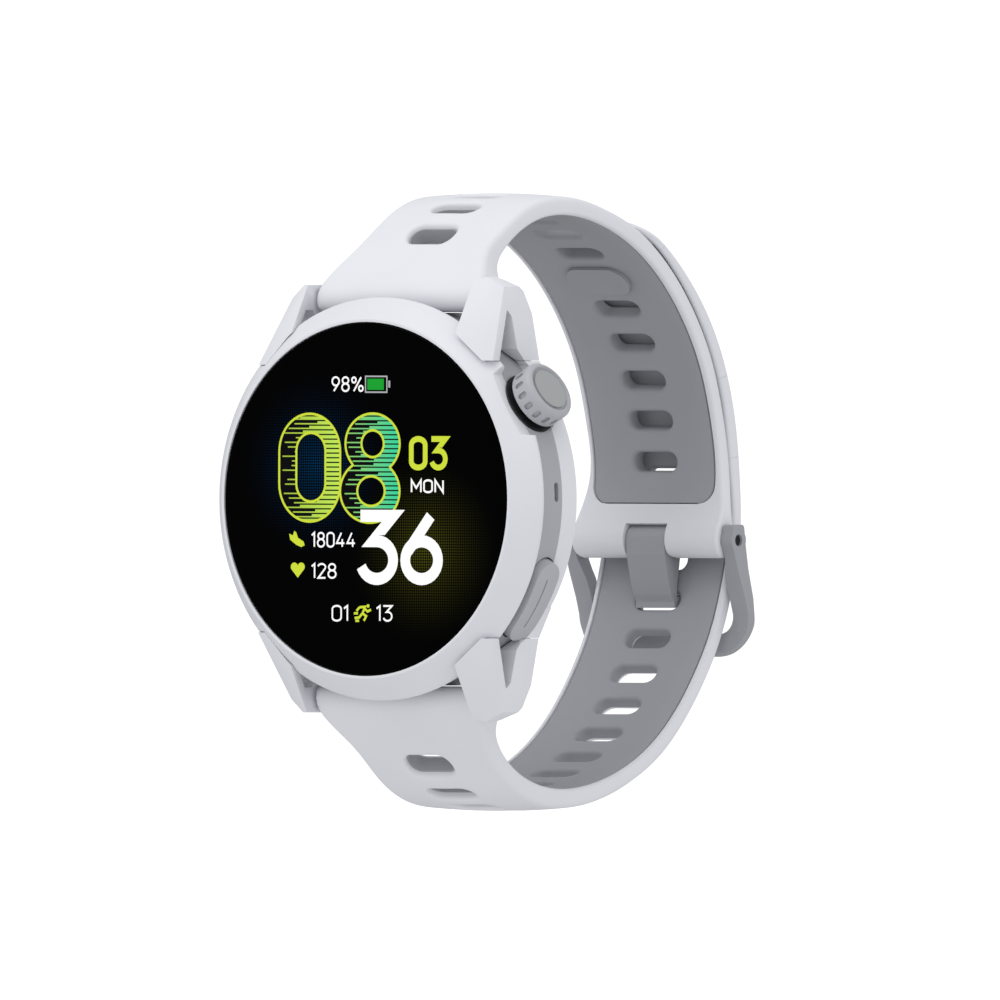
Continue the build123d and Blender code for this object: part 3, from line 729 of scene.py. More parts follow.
@dataclass
class Layer:
    """One moulded layer of a strap half, pierced by its slots and closed at its ends."""

    guide: Guide
    centres: list[float]
    start: float
    end: float
    liner: tuple[float, float]          # where the liner starts and ends along the curve
    liner_layer: bool = False           # whether this layer is the liner itself
    notch: float | None = None          # where the buckle notch starts
    slots: Slots = field(default_factory=Slots)
    liner_half: float = 8.15
    liner_depth: float = 0.6
    liner_corner: float = 2.0
    groove: float = 0.2
    inner_edge: float = 0.4
    outer_edge: float = 0.75
    notch_half: float = 2.8
    rim: float = 0.5
    collar: float = 0.16                # wall of the liner's collars, which line the slots
    collar_drop: float = 0.3            # how far the collars end below the outer surface
    row_step: float = 0.55

    def thickness(self, s: float) -> float:
        """Distance between the inner and the outer curve."""
        row = self.guide.at(s)
        return math.hypot(row[2] - row[0], row[3] - row[1])

    def place(self, s: float, x: float, height: float) -> tuple[float, float, float]:
        """Point at a height above the inner curve, in the frame's millimetres."""
        row = self.guide.at(s)
        share = height / self.thickness(s)
        depth, z = row[0] + (row[2] - row[0]) * share, row[1] + (row[3] - row[1]) * share
        return (x, from_front(depth), z)

    def block(self, s: float) -> float:
        """Half width of the middle block of the mesh."""
        if self.notch is None or s < self.centres[-1] + self.slots.half_cell:
            return self.slots.half_block
        before = self.centres[-1] + self.slots.half_cell
        if s < self.notch:
            share = (s - before) / (self.notch - before)
            return self.slots.half_block + (self.notch_half - self.slots.half_block) * share
        left = min(1.0, max(0.0, 1 - (self.end - s) / 1.1))
        return self.notch_half + 0.7 * (1 - math.sqrt(1 - left * left))

    def edge_of_liner(self, s: float) -> float:
        """Half width of the liner, with its rounded corners."""
        inside = min(s - self.liner[0], self.liner[1] - s)
        short = max(0.0, min(self.liner_corner, self.liner_corner - inside))
        return self.liner_half - self.liner_corner + math.sqrt(max(0.0, self.liner_corner**2 - short**2))

    def floor(self, s: float) -> float:
        """Height of the layer's lower surface."""
        if self.liner_layer:
            return 0.03
        return self.liner_depth if self.liner[0] <= s <= self.liner[1] else 0.0

    def roof(self, s: float, x: float) -> float:
        """Height of the layer's upper surface."""
        if self.liner_layer:
            return self.liner_depth - 0.02
        row = self.guide.at(s)
        return self.thickness(s) - row[5] * (x / row[4]) ** 2

    def profile(self, s: float) -> list[Point]:
        """(x, height) points round one side, from the middle block's lower edge to its upper."""
        start, low, high = self.block(s), self.floor(s), self.roof
        if self.liner_layer:
            wide = self.edge_of_liner(s) - self.groove
            return [(start, low), ((start + wide) / 2, low), (wide - 0.08, low), (wide - 0.02, low + 0.03),
                    (wide, low + 0.08), (wide, high(s, wide)), (start, high(s, start))]
        wide, groove = self.guide.at(s)[4], self.edge_of_liner(s)
        inner, outer = self.inner_edge, min(self.outer_edge, self.thickness(s) * 0.45)
        top = high(s, wide - outer)
        points = [(start, low), ((start + groove) / 2, low), (groove, low), (groove + 0.01, low * 0.15),
                  (groove + 0.07, 0.0), (wide - inner, 0.0)]
        points += [(wide - inner + inner * math.sin(a), inner - inner * math.cos(a))
                   for a in (0.5, 1.1, math.pi / 2)]
        points += [(wide - outer + outer * math.cos(a), top - outer + outer * math.sin(a))
                   for a in (0.0, 0.3, 0.6, 0.9, 1.25, math.pi / 2)]
        points += [(start + (wide - outer - start) * k, 0.0) for k in (0.75, 0.5, 0.25, 0.0)]
        return [(x, high(s, x)) if i > 14 else (x, h) for i, (x, h) in enumerate(points)]

    def rows(self) -> list[tuple[str, float, float]]:
        """Pieces along the curve: ("slot" or "plain", start, end)."""
        stops, here = [], self.start
        for centre in self.centres:
            if centre - self.slots.half_cell > here + 0.02:
                stops.append(("plain", here, centre - self.slots.half_cell))
            stops.append(("slot", centre, centre))
            here = centre + self.slots.half_cell
        stops.append(("plain", here, self.end))
        return stops

    def plain_rows(self, first: float, last: float) -> list[float]:
        """Rows of a stretch without slots, doubled at the ends of the liner and the notch."""
        count = max(1, math.ceil((last - first) / self.row_step))
        rows = {round(first + (last - first) * i / count, 5) for i in range(count + 1)}
        for edge, step in ((self.liner[0], -0.03), (self.liner[1], 0.03)):
            if first < edge < last and not self.liner_layer:
                rows |= {round(edge, 5), round(edge + step, 5)}
            rows |= {round(edge + k * (-step / 0.03), 5) for k in (0.1, 0.3, 0.6, 1.0, 1.5, 2.0)
                     if first < edge + k * (-step / 0.03) < last}
        if self.notch and first < self.notch < last:
            rows.add(round(self.notch, 5))
        return sorted(rows)

    def build(self, name: str, finish: Palette) -> bpy.types.Object:
        """Build the layer.

        Args:
            name: The object's name.
            finish: Its finish.

        Returns:
            The object.
        """
        shape = Shape()
        for kind, first, last in self.rows():
            if kind == "slot":
                cell = self.slots.half_cell
                rows = [first - cell + 2 * cell * i / self.slots.rows for i in range(self.slots.rows + 1)]
                self._pierced(shape, first)
            else:
                rows = self.plain_rows(first, last)
                for a, b in zip(rows, rows[1:]):
                    self._middle(shape, a, b)
            for a, b in zip(rows, rows[1:]):
                self._sides(shape, a, b)
        self._cap(shape, self.start)
        self._cap(shape, self.end)
        return shape.build(name, finish)

    def _columns(self, s: float) -> list[float]:
        """X of the middle block's columns."""
        return [self.block(s) * column for column in self.slots.columns]

    def _sides(self, shape: Shape, a: float, b: float) -> None:
        """Add both side strips between two rows."""
        for side in (1, -1):
            strips = [[self.place(s, side * x, h) for x, h in self.profile(s)] for s in (a, b)]
            shape.bridge(*strips)

    def _middle(self, shape: Shape, a: float, b: float) -> None:
        """Add the middle block between two rows, or the walls of the notch."""
        if self.notch is not None and a >= self.notch - 1e-4:
            for side in (1, -1):
                walls = [[self.place(s, side * self.block(s), h)
                          for h in (self.floor(s), self.roof(s, self.block(s)))] for s in (a, b)]
                shape.bridge(*walls)
            if a < self.notch + 1e-4:
                ends = [[self.place(a, x, h(x)) for x in self._columns(a)]
                        for h in (lambda x: self.floor(a), lambda x: self.roof(a, x))]
                shape.bridge(*ends)
            return
        for height in (lambda s, x: self.floor(s), self.roof):
            shape.bridge(*[[self.place(s, x, height(s, x)) for x in self._columns(s)] for s in (a, b)])

    def _pierced(self, shape: Shape, centre: float) -> None:
        """Add a cell with its slot, rolled rims and wall."""
        frame, grow = self.slots.rectangle(centre), 0.0 if self.liner_layer else self.collar + 0.01
        lips = []
        for height, way, rim in ((lambda s, x: self.floor(s), 1, self.rim if self.liner_layer else 0.0),
                                 (self.roof, -1, 0.0 if self.liner_layer else self.rim)):
            steps = [(1.0, 0.0), (0.62, 0.08), (0.3, 0.28), (0.08, 0.62), (0.0, 1.0)] if rim else [(0.0, 0.0)]
            inner = self.collar if self.liner_layer and way < 0 else grow
            rings = [[(s, x, 0.0) for s, x in frame]]
            outer = self.slots.pill(centre, inner + rim + 0.2)
            rings.append([((s + t) / 2, (x + u) / 2, 0.0) for (s, x), (t, u) in zip(frame, outer)])
            rings += [[(s, x, rim * sink) for s, x in self.slots.pill(centre, inner + rim * out)]
                      for out, sink in steps]
            solid = [[self.place(s, x, height(s, x) + way * sink) for s, x, sink in ring] for ring in rings]
            if self.liner_layer and way < 0:
                top = self.thickness(centre) - self.guide.at(centre)[5] - self.collar_drop
                solid += [[self.place(s, x, top) for s, x in self.slots.pill(centre, out)]
                          for out in (self.collar, 0.0)]
            for first, second in zip(solid, solid[1:]):
                shape.bridge(first, second, closed=True)
            lips.append(solid[-1])
        shape.bridge(*lips, closed=True)

    def _cap(self, shape: Shape, s: float) -> None:
        """Close an end row."""
        sides = [[self.place(s, side * x, h) for x, h in self.profile(s)] for side in (1, -1)]
        if self.notch is not None and s > self.notch:
            for side in sides:
                shape.face(*side)
            return
        low = [self.place(s, x, self.floor(s)) for x in self._columns(s)]
        high = [self.place(s, x, self.roof(s, x)) for x in self._columns(s)]
        shape.bridge(low, high)
        for side in sides:
            shape.face(*side)


@dataclass
class Strap:
    """Both strap halves with their liners and the free tail."""

    pitch: float = 4.5
    first_upper: float = 6.4
    first_lower: float = 2.9
    slot_count: int = 13
    first_tail: float = 1.55
    tail_pitch: float = 4.4
    tail_count: int = 9
    half: float = 8.8
    crown: float = 0.4
    tail_gap: float = 0.15
    liner_gap: float = 0.12             # between the liner's ends and its recess
    upper: tuple = (
        (13.4, 26.9, 2.5), (19.8, 30.15, 2.4), (26.0, 30.5, 2.3), (31.4, 29.4, 2.2), (35.4, 27.85, 2.1),
        (39.3, 25.6, 2.1), (42.8, 22.7, 2.1), (45.9, 19.2, 2.1), (48.9, 14.3, 2.1), (51.0, 8.0, 2.1),
        (51.75, 2.0, 2.2), (50.6, -2.2, 2.9),
    )
    lower: tuple = (
        (13.0, -27.0, 2.5), (19.5, -30.6, 2.5), (26.0, -31.1, 2.4), (31.0, -30.3, 2.3), (36.3, -28.5, 2.2),
        (40.8, -26.0, 2.2), (44.9, -22.5, 2.1), (48.3, -18.4, 2.1), (50.6, -14.8, 2.1), (52.3, -10.9, 2.1),
        (53.6, -6.6, 2.1), (54.2, -3.7, 2.1),
    )
    # Rolled end round the spring bar: inner and outer points and half width, for the upper half
    lug_roll: tuple = (
        (8.3, 20.15, 6.6, 20.12, 10.8), (9.1, 20.35, 5.85, 20.3, 10.95), (9.7, 20.95, 5.45, 20.85, 11.0),
        (9.95, 21.7, 5.45, 21.9, 11.0), (10.05, 22.6, 6.15, 23.1, 10.85), (11.4, 24.8, 9.05, 26.35, 9.25),
    )
    knuckle: tuple = (
        (50.0, -3.4, 53.6, -4.0, 9.8), (49.82, -4.5, 53.55, -4.9, 9.8), (50.05, -5.35, 53.1, -5.7, 9.75),
        (50.6, -6.0, 52.55, -6.15, 9.6), (51.3, -6.32, 51.95, -6.33, 9.3),
    )
    tail_thick: tuple = (0.8, 1.2, 1.5, 1.8, 2.0, 2.1, 2.1)
    tail_tip: float = 5.0               # length over which the tail narrows to its tip

    def _roll(self, sign: int) -> list[tuple[float, ...]]:
        """Guide rows of the rolled end at the lugs."""
        return [(a, sign * b, c, sign * d, w, 0.0) for a, b, c, d, w in self.lug_roll]

    def _span(self, points: tuple, sign: int) -> list[tuple[float, ...]]:
        """Guide rows of a plain stretch."""
        outer = shifted(list(points), [p[2] for p in points], sign)
        return [(p[0], p[1], *o, self.half, self.crown) for p, o in zip(points, outer)]

    def upper_guide(self) -> Guide:
        """Curve of the upper half, from the lugs round its buckle knuckle."""
        rows = self._span(self.upper, 1)
        rows[4:] = [(*row[:5], 0.12) for row in rows[4:]]
        rows[-1] = (*rows[-1][:4], self.half + 0.95, 0.1)
        rows[-2] = (*rows[-2][:4], self.half + 0.15, 0.12)
        return Guide(self._roll(1) + rows + [(*k, 0.0) for k in self.knuckle])

    def lower_guide(self) -> Guide:
        """Curve of the lower half and of the tail that lies on the upper half."""
        under = list(self.upper[4:11])
        thick = [p[2] + self.tail_gap for p in under]
        inner = shifted(under, thick, 1)
        outer = shifted(under, [a + b for a, b in zip(thick, self.tail_thick)], 1)
        rows = [(*a, *b, self.half, self.crown) for a, b in zip(inner, outer)]
        return Guide(self._roll(-1) + self._span(self.lower, -1) + rows[::-1])

    def build(self) -> list[bpy.types.Object]:
        """Build the strap's four pieces.

        Returns:
            Upper strap, upper liner, lower strap with tail, lower liner with tail.
        """
        upper, lower = self.upper_guide(), self.lower_guide()
        pin_end = upper.nearest(*self.upper[-1][:2])
        centres = sorted(pin_end - self.first_upper - self.pitch * k for k in range(self.slot_count))
        liner = (upper.nearest(15.6, 28.4), upper.nearest(51.55, -0.55))
        pieces = self._layers("upper", upper, centres, liner, upper.nearest(50.4, -2.6))
        split = lower.nearest(*self.lower[-1][:2])
        below = [split - self.first_lower - self.pitch * k for k in range(self.slot_count)]
        above = [split + self.first_tail + self.tail_pitch * k for k in range(self.tail_count)]
        liner = (lower.nearest(15.6, -29.0), lower.length - 3.2)
        self._narrow(lower)
        return pieces + self._layers("lower", lower, sorted(below + above), liner, None)

    def _layers(self, name: str, guide: Guide, centres: list[float], liner: tuple[float, float],
                notch: float | None) -> list[bpy.types.Object]:
        """Build the outer layer and the liner of one half.

        Args:
            name: "upper" or "lower".
            guide: The half's curve.
            centres: Where its slots are along the curve.
            liner: Where its liner starts and ends.
            notch: Where the buckle notch starts, if it has one.

        Returns:
            The outer layer and the liner.
        """
        shared = dict(guide=guide, centres=centres, liner=liner)
        outer = Layer(start=0.0, end=guide.length, notch=notch, **shared)
        gap = self.liner_gap
        inner = Layer(start=liner[0] + gap, end=liner[1] - gap, liner_layer=True, **shared)
        return [outer.build("strap_" + name, Palette.STRAP), inner.build("liner_" + name, Palette.LINER)]

    def _narrow(self, guide: Guide) -> None:
        """Narrow the tail to its tip."""
        plain = guide.at

        def at(s: float) -> np.ndarray:
            """Value with the tip's half width."""
            row = plain(s).copy()
            short = max(0.0, 1 - (guide.length - s) / self.tail_tip)
            row[4] -= 3.6 * (1 - math.sqrt(max(0.0, 1 - short * short)))
            return row

        guide.at = at

    def join(self, pieces: list[bpy.types.Object]) -> None:
        """Hide the nodes that each piece replaces, attach the upper pieces to the watch and bake the lower
        pieces in place.
        """
        upper, upper_liner, lower, lower_liner = pieces
        join(upper, "strap", "watch", "upper_strap")
        join(upper_liner, "liner", "watch", "upper_liner")
        join(lower, "strap", "", "lower_strap", "strap_tail")
        join(lower_liner, "liner", "", "lower_liner", "tail_liner")
        for piece in (lower, lower_liner):
            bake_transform(piece)


# ---- case ----------------------------------------------------------------------------------------
@dataclass
class Case:
    """Front glass and the rear screws."""

    glass_radius: float = 19.0
    glass_thick: float = 1.0
    glass_edge: float = 0.25            # width of the glass's rounded edge
    screw_radius: float = 0.95
    screw_x: float = 13.0
    screw_z: float = 12.6
    socket_radius: float = 0.5

    def glass(self) -> bpy.types.Object:
        """Build the front glass with its rounded edge."""
        r, e = self.glass_radius, self.glass_edge
        profile = [(r - 0.05, self.glass_thick), (r, self.glass_thick - 0.05), (r, 0.28)]
        profile += [(r - e + e * math.cos(a), 0.28 - 0.26 * math.sin(a)) for a in ROLL]
        profile += [(r - e - 1.2, 0.0), (0.02, 0.0)]
        turn = Matrix.Translation((0, from_front(0) * MM, 0)) @ Matrix.Rotation(-math.pi / 2, 4, "X")
        return lathe(profile, 160).build("front_glass", Palette.GLASS, 50.0, matrix=turn)

    def screws(self, back: float) -> bpy.types.Object:
        """Build the four rear screws with their sockets.

        Args:
            back: Y of the screw heads' outer faces, in metres.

        Returns:
            The screws.
        """
        tree = Tree("rear_screws", head_radius=self.screw_radius * MM, socket_radius=self.socket_radius * MM,
                    head_height=0.5 * MM, span_x=2 * self.screw_x * MM, span_z=2 * self.screw_z * MM)
        head = tree.add("GeometryNodeMeshCylinder", {
            "Vertices": 40, "Radius": tree.size("head_radius"), "Depth": tree.size("head_height")})
        socket = tree.add("GeometryNodeMeshCylinder", {
            "Vertices": 6, "Radius": tree.size("socket_radius"), "Depth": tree.size("head_height")})
        lift = tree.vector(z=tree.sum("MULTIPLY", tree.size("head_height"), 0.55))
        raised = tree.add("GeometryNodeTransform", {0: socket.outputs[0], "Translation": lift})
        cut = tree.add("GeometryNodeMeshBoolean", {0: head.outputs[0], 1: raised.outputs[0]},
                       operation="DIFFERENCE")
        grid = tree.add("GeometryNodeMeshGrid", {
            "Size X": tree.size("span_x"), "Size Y": tree.size("span_z"), "Vertices X": 2, "Vertices Y": 2})
        heads = tree.add("GeometryNodeInstanceOnPoints", {0: grid.outputs[0], "Instance": cut.outputs[0]})
        mesh = tree.mesh(heads.outputs[0], bpy.data.meshes.new("rear_screws"), Palette.STEEL)
        mesh.transform(Matrix.Translation((0, back - 0.25 * MM, 0)) @ Matrix.Rotation(-math.pi / 2, 4, "X"))
        return finished("rear_screws", mesh, Palette.STEEL, 35.0)


@dataclass
class Crown:
    """Turning crown with its ring of grip recesses."""

    angle: float = 30.0
    depth: float = 5.55
    radius: float = 3.35
    back: float = 21.25
    face: float = 23.95
    disc_radius: float = 2.3
    groove_radius: float = 2.62
    recesses: int = 16
    recess_length: float = 1.2
    recess_width: float = 0.62
    recess_depth: float = 0.3

    def place(self) -> Matrix:
        """Matrix whose Z runs out along the crown's axis."""
        a = math.radians(self.angle)
        out = Vector((math.cos(a), 0, math.sin(a)))
        up = Vector((0, 1, 0))
        turn = Matrix((up.cross(out), up, out)).transposed().to_4x4()
        return Matrix.Translation((0, from_front(self.depth) * MM, 0)) @ turn

    def knob(self) -> bpy.types.Object:
        """Build the knob: a turned body with its grip recesses cut in."""
        r, b, f, e = self.radius, self.back, self.face, 0.6
        profile = [(0.95, b + 1.6), (0.95, b), (r - 0.35, b), (r - 0.1, b + 0.1), (r, b + 0.35), (r, f - e)]
        profile += [(r - e + e * math.cos(a), f - e + e * math.sin(a)) for a in ROLL]
        g, d = self.groove_radius, self.disc_radius
        profile += [(g + 0.2, f), (g + 0.05, f - 0.06), (g, f - 0.16), (g - 0.12, f - 0.3), (d, f - 0.34),
                    (0.02, f - 0.34)]
        blank = lathe(profile, 96).build("knob_blank", Palette.CROWN)
        source = blank.data
        bpy.data.objects.remove(blank)
        tree = Tree("grip_recesses", radius=r * MM, count=self.recesses, length=self.recess_length * MM,
                    width=self.recess_width * MM, depth=self.recess_depth * MM,
                    middle=(b + f - 0.35) / 2 * MM)
        half = tree.sum("MULTIPLY", tree.size("width"), 0.5)
        straight = tree.sum("SUBTRACT", tree.size("length"), tree.size("width"))
        ends = []
        for side in (0.5, -0.5):
            rod = tree.add("GeometryNodeMeshCylinder", {
                "Vertices": 20, "Radius": half, "Depth": tree.sum("MULTIPLY", tree.size("depth"), 2.0)})
            spot = tree.vector(y=tree.sum("MULTIPLY", straight, side))
            moved = tree.add("GeometryNodeTransform", {0: rod.outputs[0], "Translation": spot})
            ends.append(moved.outputs[0])
        joined = tree.add("GeometryNodeJoinGeometry", {0: ends})
        pill = tree.add("GeometryNodeConvexHull", {0: joined.outputs[0]})
        circle = tree.add("GeometryNodeMeshCircle", {
            "Vertices": tree.size("count"), "Radius": tree.size("radius")})
        index = tree.add("GeometryNodeInputIndex")
        turn = tree.sum("DIVIDE", tree.sum("MULTIPLY", index.outputs[0], math.tau), tree.size("count"))
        tilt = tree.vector(math.pi / 2, 0.0, tree.sum("ADD", turn, math.pi / 2))
        facing = tree.add("FunctionNodeEulerToRotation", {0: tilt})
        cutters = tree.add("GeometryNodeInstanceOnPoints", {
            0: circle.outputs[0], "Instance": pill.outputs[0], "Rotation": facing.outputs[0]})
        lift = tree.vector(z=tree.size("middle"))
        raised = tree.add("GeometryNodeTransform", {0: cutters.outputs[0], "Translation": lift})
        cuts = tree.add("GeometryNodeRealizeInstances", {0: raised.outputs[0]})
        cut = tree.add("GeometryNodeMeshBoolean", {0: tree.start.outputs[0], 1: cuts.outputs[0]},
                       operation="DIFFERENCE")
        mesh = tree.mesh(cut.outputs[0], source, Palette.CROWN)
        mesh.transform(self.place())
        return finished("knob", mesh, Palette.CROWN, 35.0)


# ---- display ---------------------------------------------------------------------------------------
class Glyph:
    """Strokes of plain sans figures in a box one unit high, as centre lines."""

    @staticmethod
    def strokes(mark: str) -> tuple[float, list[list[Point]]]:
        """Give a mark's width and its strokes.

        Args:
            mark: One of the digits and letters that the display shows.

        Returns:
            Width of the box and its strokes; a stroke that ends where it starts is closed.
        """
        w, r = 0.44, 0.22
        oval = arc(r, 1 - r, r, r, 0, 180) + arc(r, r, r, r, 180, 360)
        marks: dict[str, tuple[float, list[list[Point]]]] = {
            "0": (w, [oval + oval[:1]]),
            "O": (0.52, [[(x * 1.18, y) for x, y in oval + oval[:1]]]),
            "1": (0.2, [[(0.0, 0.82), (0.17, 1.0), (0.17, 0.0)]]),
            "2": (w, [arc(r, 0.77, r, 0.23, 165, -25) + [(0.02, 0.0), (w, 0.0)]]),
            "3": (w, [[(0.0, 1.0), (w, 1.0), (0.17, 0.60)] + arc(r, 0.30, r, 0.30, 88, -160, 20)]),
            "4": (0.5, [[(0.30, 1.0), (0.0, 0.26), (0.5, 0.26)], [(0.36, 0.55), (0.36, 0.0)]]),
            "6": (w, [arc(r, 0.30, r, 0.30, 0, 360, 28), [(0.34, 1.0), (0.035, 0.44)]]),
            "8": (w, [arc(r, 0.77, 0.19, 0.23, -90, 270, 24), arc(r, 0.27, r, 0.27, 90, 450, 24)]),
            "M": (0.6, [[(0.0, 0.0), (0.0, 1.0), (0.3, 0.35), (0.6, 1.0), (0.6, 0.0)]]),
            "N": (0.5, [[(0.0, 0.0), (0.0, 1.0), (0.5, 0.0), (0.5, 1.0)]]),
            "%": (0.72, [[(0.13, 0.0), (0.59, 1.0)], arc(0.14, 0.8, 0.13, 0.19, 0, 360, 16),
                         arc(0.58, 0.2, 0.13, 0.19, 0, 360, 16)]),
        }
        marks["9"] = (w, [[(w - x, 1 - y) for x, y in stroke] for stroke in marks["6"][1]])
        return marks[mark]


@dataclass
class Display:
    """Lit figures and symbols just over the glass."""

    level: float = -0.012               # depth of the lit layer in front of the glass
    step: float = 0.004

    def _flat(self, name: str, polygons: list[list[list[Point]]], finish: Palette,
              lift: int) -> bpy.types.Object:
        """Make one flat lit piece.

        Args:
            name: The piece's name.
            polygons: Each an outline followed by its holes, in (x, z) millimetres.
            finish: Its finish.
            lift: How many steps it lies over the first layer.

        Returns:
            The piece.
        """
        y = from_front(self.level - self.step * lift)
        shape = Shape()
        for loops in polygons:
            corners = [Vector((x, 0, z)) for loop in loops for x, z in loop]
            for triangle in tessellate_polygon([[Vector((x, z, 0)) for x, z in loop] for loop in loops]):
                spots = [corners[i] for i in triangle]
                if (spots[1] - spots[0]).cross(spots[2] - spots[0]).y > 0:
                    spots.reverse()
                shape.face(*[(p.x, y, p.z) for p in spots])
        piece = shape.build(name, finish, turn_out=False)
        join(piece, "display", "watch")
        LOG.info("%s: %d faces", name, len(piece.data.polygons))
        return piece

    @staticmethod
    def ribbon(path: list[Point], weight: float) -> list[list[Point]]:
        """Give the outline of a stroke of even weight, with its hole where it is closed."""
        closed = math.dist(path[0], path[-1]) < 1e-4
        points = [Vector(p) for i, p in enumerate(path) if i == 0 or math.dist(p, path[i - 1]) > 1e-4]
        if closed:
            points = points[:-1]
        sides: tuple[list[Point], list[Point]] = ([], [])
        count = len(points)
        for i, here in enumerate(points):
            before = points[(i - 1) % count] if closed or i else None
            after = points[(i + 1) % count] if closed or i < count - 1 else None
            ways = [(b - a).normalized() for a, b in ((before, here), (here, after))
                    if a is not None and b is not None]
            normals = [Vector((-way.y, way.x)) for way in ways]
            mean = sum(normals, Vector((0, 0))).normalized()
            reach = weight / 2 / max(0.35, mean.dot(normals[0]))
            sides[0].append(tuple(here + mean * reach))
            sides[1].append(tuple(here - mean * reach))
        return [sides[0], sides[1]] if closed else [sides[0] + sides[1][::-1]]

    def text(self, words: str, left: float, right: float, bottom: float, top: float, weight: float,
             spread: float = 1.9) -> list:
        """Set a line of marks into a box.

        Args:
            words: The marks.
            left: Left edge.
            right: Right edge.
            bottom: Lower edge.
            top: Upper edge.
            weight: Stroke weight.
            spread: Space between the marks' centre lines, in stroke weights.

        Returns:
            The polygons.
        """
        marks = [Glyph.strokes(mark) for mark in words]
        tall = top - bottom - weight
        natural = sum(width for width, _ in marks) * tall
        gap = weight * spread
        squeeze = (right - left - weight - gap * (len(words) - 1)) / natural
        here, polygons = left + weight / 2, []
        for width, strokes in marks:
            for stroke in strokes:
                path = [(here + x * tall * squeeze, bottom + weight / 2 + z * tall) for x, z in stroke]
                polygons.append(self.ribbon(path, weight))
            here += width * tall * squeeze + gap
        return polygons

    def hours(self) -> None:
        """Build the two large outlined hour figures with their striped fill."""
        zero = arc(-7.5, 5.05, 4.1, 4.1, 0, 180, 24) + arc(-7.5, 1.65, 4.1, 4.1, 180, 360, 24)
        hollow = arc(-7.35, 5.15, 1.95, 1.95, 0, 180, 18) + arc(-7.35, 1.65, 1.95, 1.95, 180, 360, 18)
        top, low = (0.95, 5.95, 3.65, 3.25), (0.6, 0.85, 4.0, 3.4)
        rings = [arc(*top, -90, 270, 72)[:-1], arc(*low, 90, 450, 72)[:-1]]
        outside = [[p for p in ring if math.hypot((p[0] - o[0]) / o[2], (p[1] - o[1]) / o[3]) > 1]
                   for ring, o in zip(rings, (low, top))]
        eight = outside[0] + outside[1]
        holes = [arc(0.95, 5.95, 1.5, 1.45, 0, 360, 32)[:-1], arc(0.75, 0.85, 1.85, 1.6, 0, 360, 32)[:-1]]
        self._flat("hour_tens_fill", [[zero, hollow]], Palette.ZERO_LIGHT, 0)
        self._flat("hour_units_fill", [[eight, *holes]], Palette.EIGHT_LIGHT, 0)
        outlines = [self.ribbon(loop + loop[:1], 0.26) for loop in (zero, hollow, eight, *holes)]
        self._flat("hour_outlines", outlines, Palette.LIME_LIGHT, 1)

    def build(self) -> None:
        """Build every lit piece."""
        self.hours()
        white = self.text("36", -1.3, 10.45, -9.25, -1.15, 1.3, 1.25)
        self._flat("minutes", white, Palette.WHITE_LIGHT, 2)
        small = []
        for words, left, right, bottom, top, weight in (
                ("98%", -4.6, -0.25, 11.5, 13.2, 0.2), ("MON", 6.1, 10.55, 0.65, 2.15, 0.22),
                ("18044", -7.3, -1.3, -5.25, -3.55, 0.2), ("128", -7.3, -3.85, -8.6, -6.9, 0.2),
                ("01", -4.5, -2.2, -13.2, -11.4, 0.2), ("13", 1.45, 3.7, -13.2, -11.4, 0.2)):
            small += self.text(words, left, right, bottom, top, weight)
        self._flat("small_figures", small, Palette.WHITE_LIGHT, 1)
        self._flat("date", self.text("03", 5.85, 11.05, 3.1, 6.8, 0.62, 1.35), Palette.LIME_LIGHT, 1)
        heart = ([(-9.07, -8.5), (-9.95, -7.55)] + arc(-9.53, -7.32, 0.48, 0.46, 190, 20, 10)
                 + arc(-8.61, -7.32, 0.48, 0.46, 160, -10, 10) + [(-8.19, -7.55)])
        shoe = [(-10.25, -3.75), (-9.75, -3.95), (-9.55, -3.45), (-9.3, -3.6), (-9.05, -4.2), (-8.3, -4.6),
                (-8.15, -5.0), (-8.6, -5.2), (-9.3, -4.95), (-10.1, -4.4)]
        runner = [self.ribbon(path, 0.27) for path in (
            [(-0.75, -11.65), (0.0, -11.6), (-0.35, -12.3), (0.15, -12.6), (-0.15, -13.1)],
            [(-0.35, -12.3), (-0.8, -12.75), (-1.4, -12.8)], [(-0.75, -11.65), (-1.15, -12.05)],
            [(0.0, -11.85), (0.35, -12.1), (0.8, -11.9)], [(-1.5, -12.3), (-0.95, -12.3)],
            [(-1.3, -13.1), (-0.8, -13.1)])]
        runner.append([arc(0.4, -11.5, 0.2, 0.2, 0, 360, 14)[:-1]])
        self._flat("symbols", [[heart], [shoe], *runner], Palette.LIME_LIGHT, 1)
        case = [(-0.02, 11.5), (2.85, 11.5), (2.85, 13.2), (-0.02, 13.2), (-0.02, 11.5)]
        nub = [[(3.05, 12.0), (3.3, 12.0), (3.3, 12.75), (3.05, 12.75)]]
        self._flat("battery_outline", [self.ribbon(case, 0.16), nub], Palette.GREY_LIGHT, 1)
        level = [(0.22, 11.75), (2.45, 11.75), (2.45, 12.95), (0.22, 12.95)]
        self._flat("battery_level", [[level]], Palette.GREEN_LIGHT, 1)


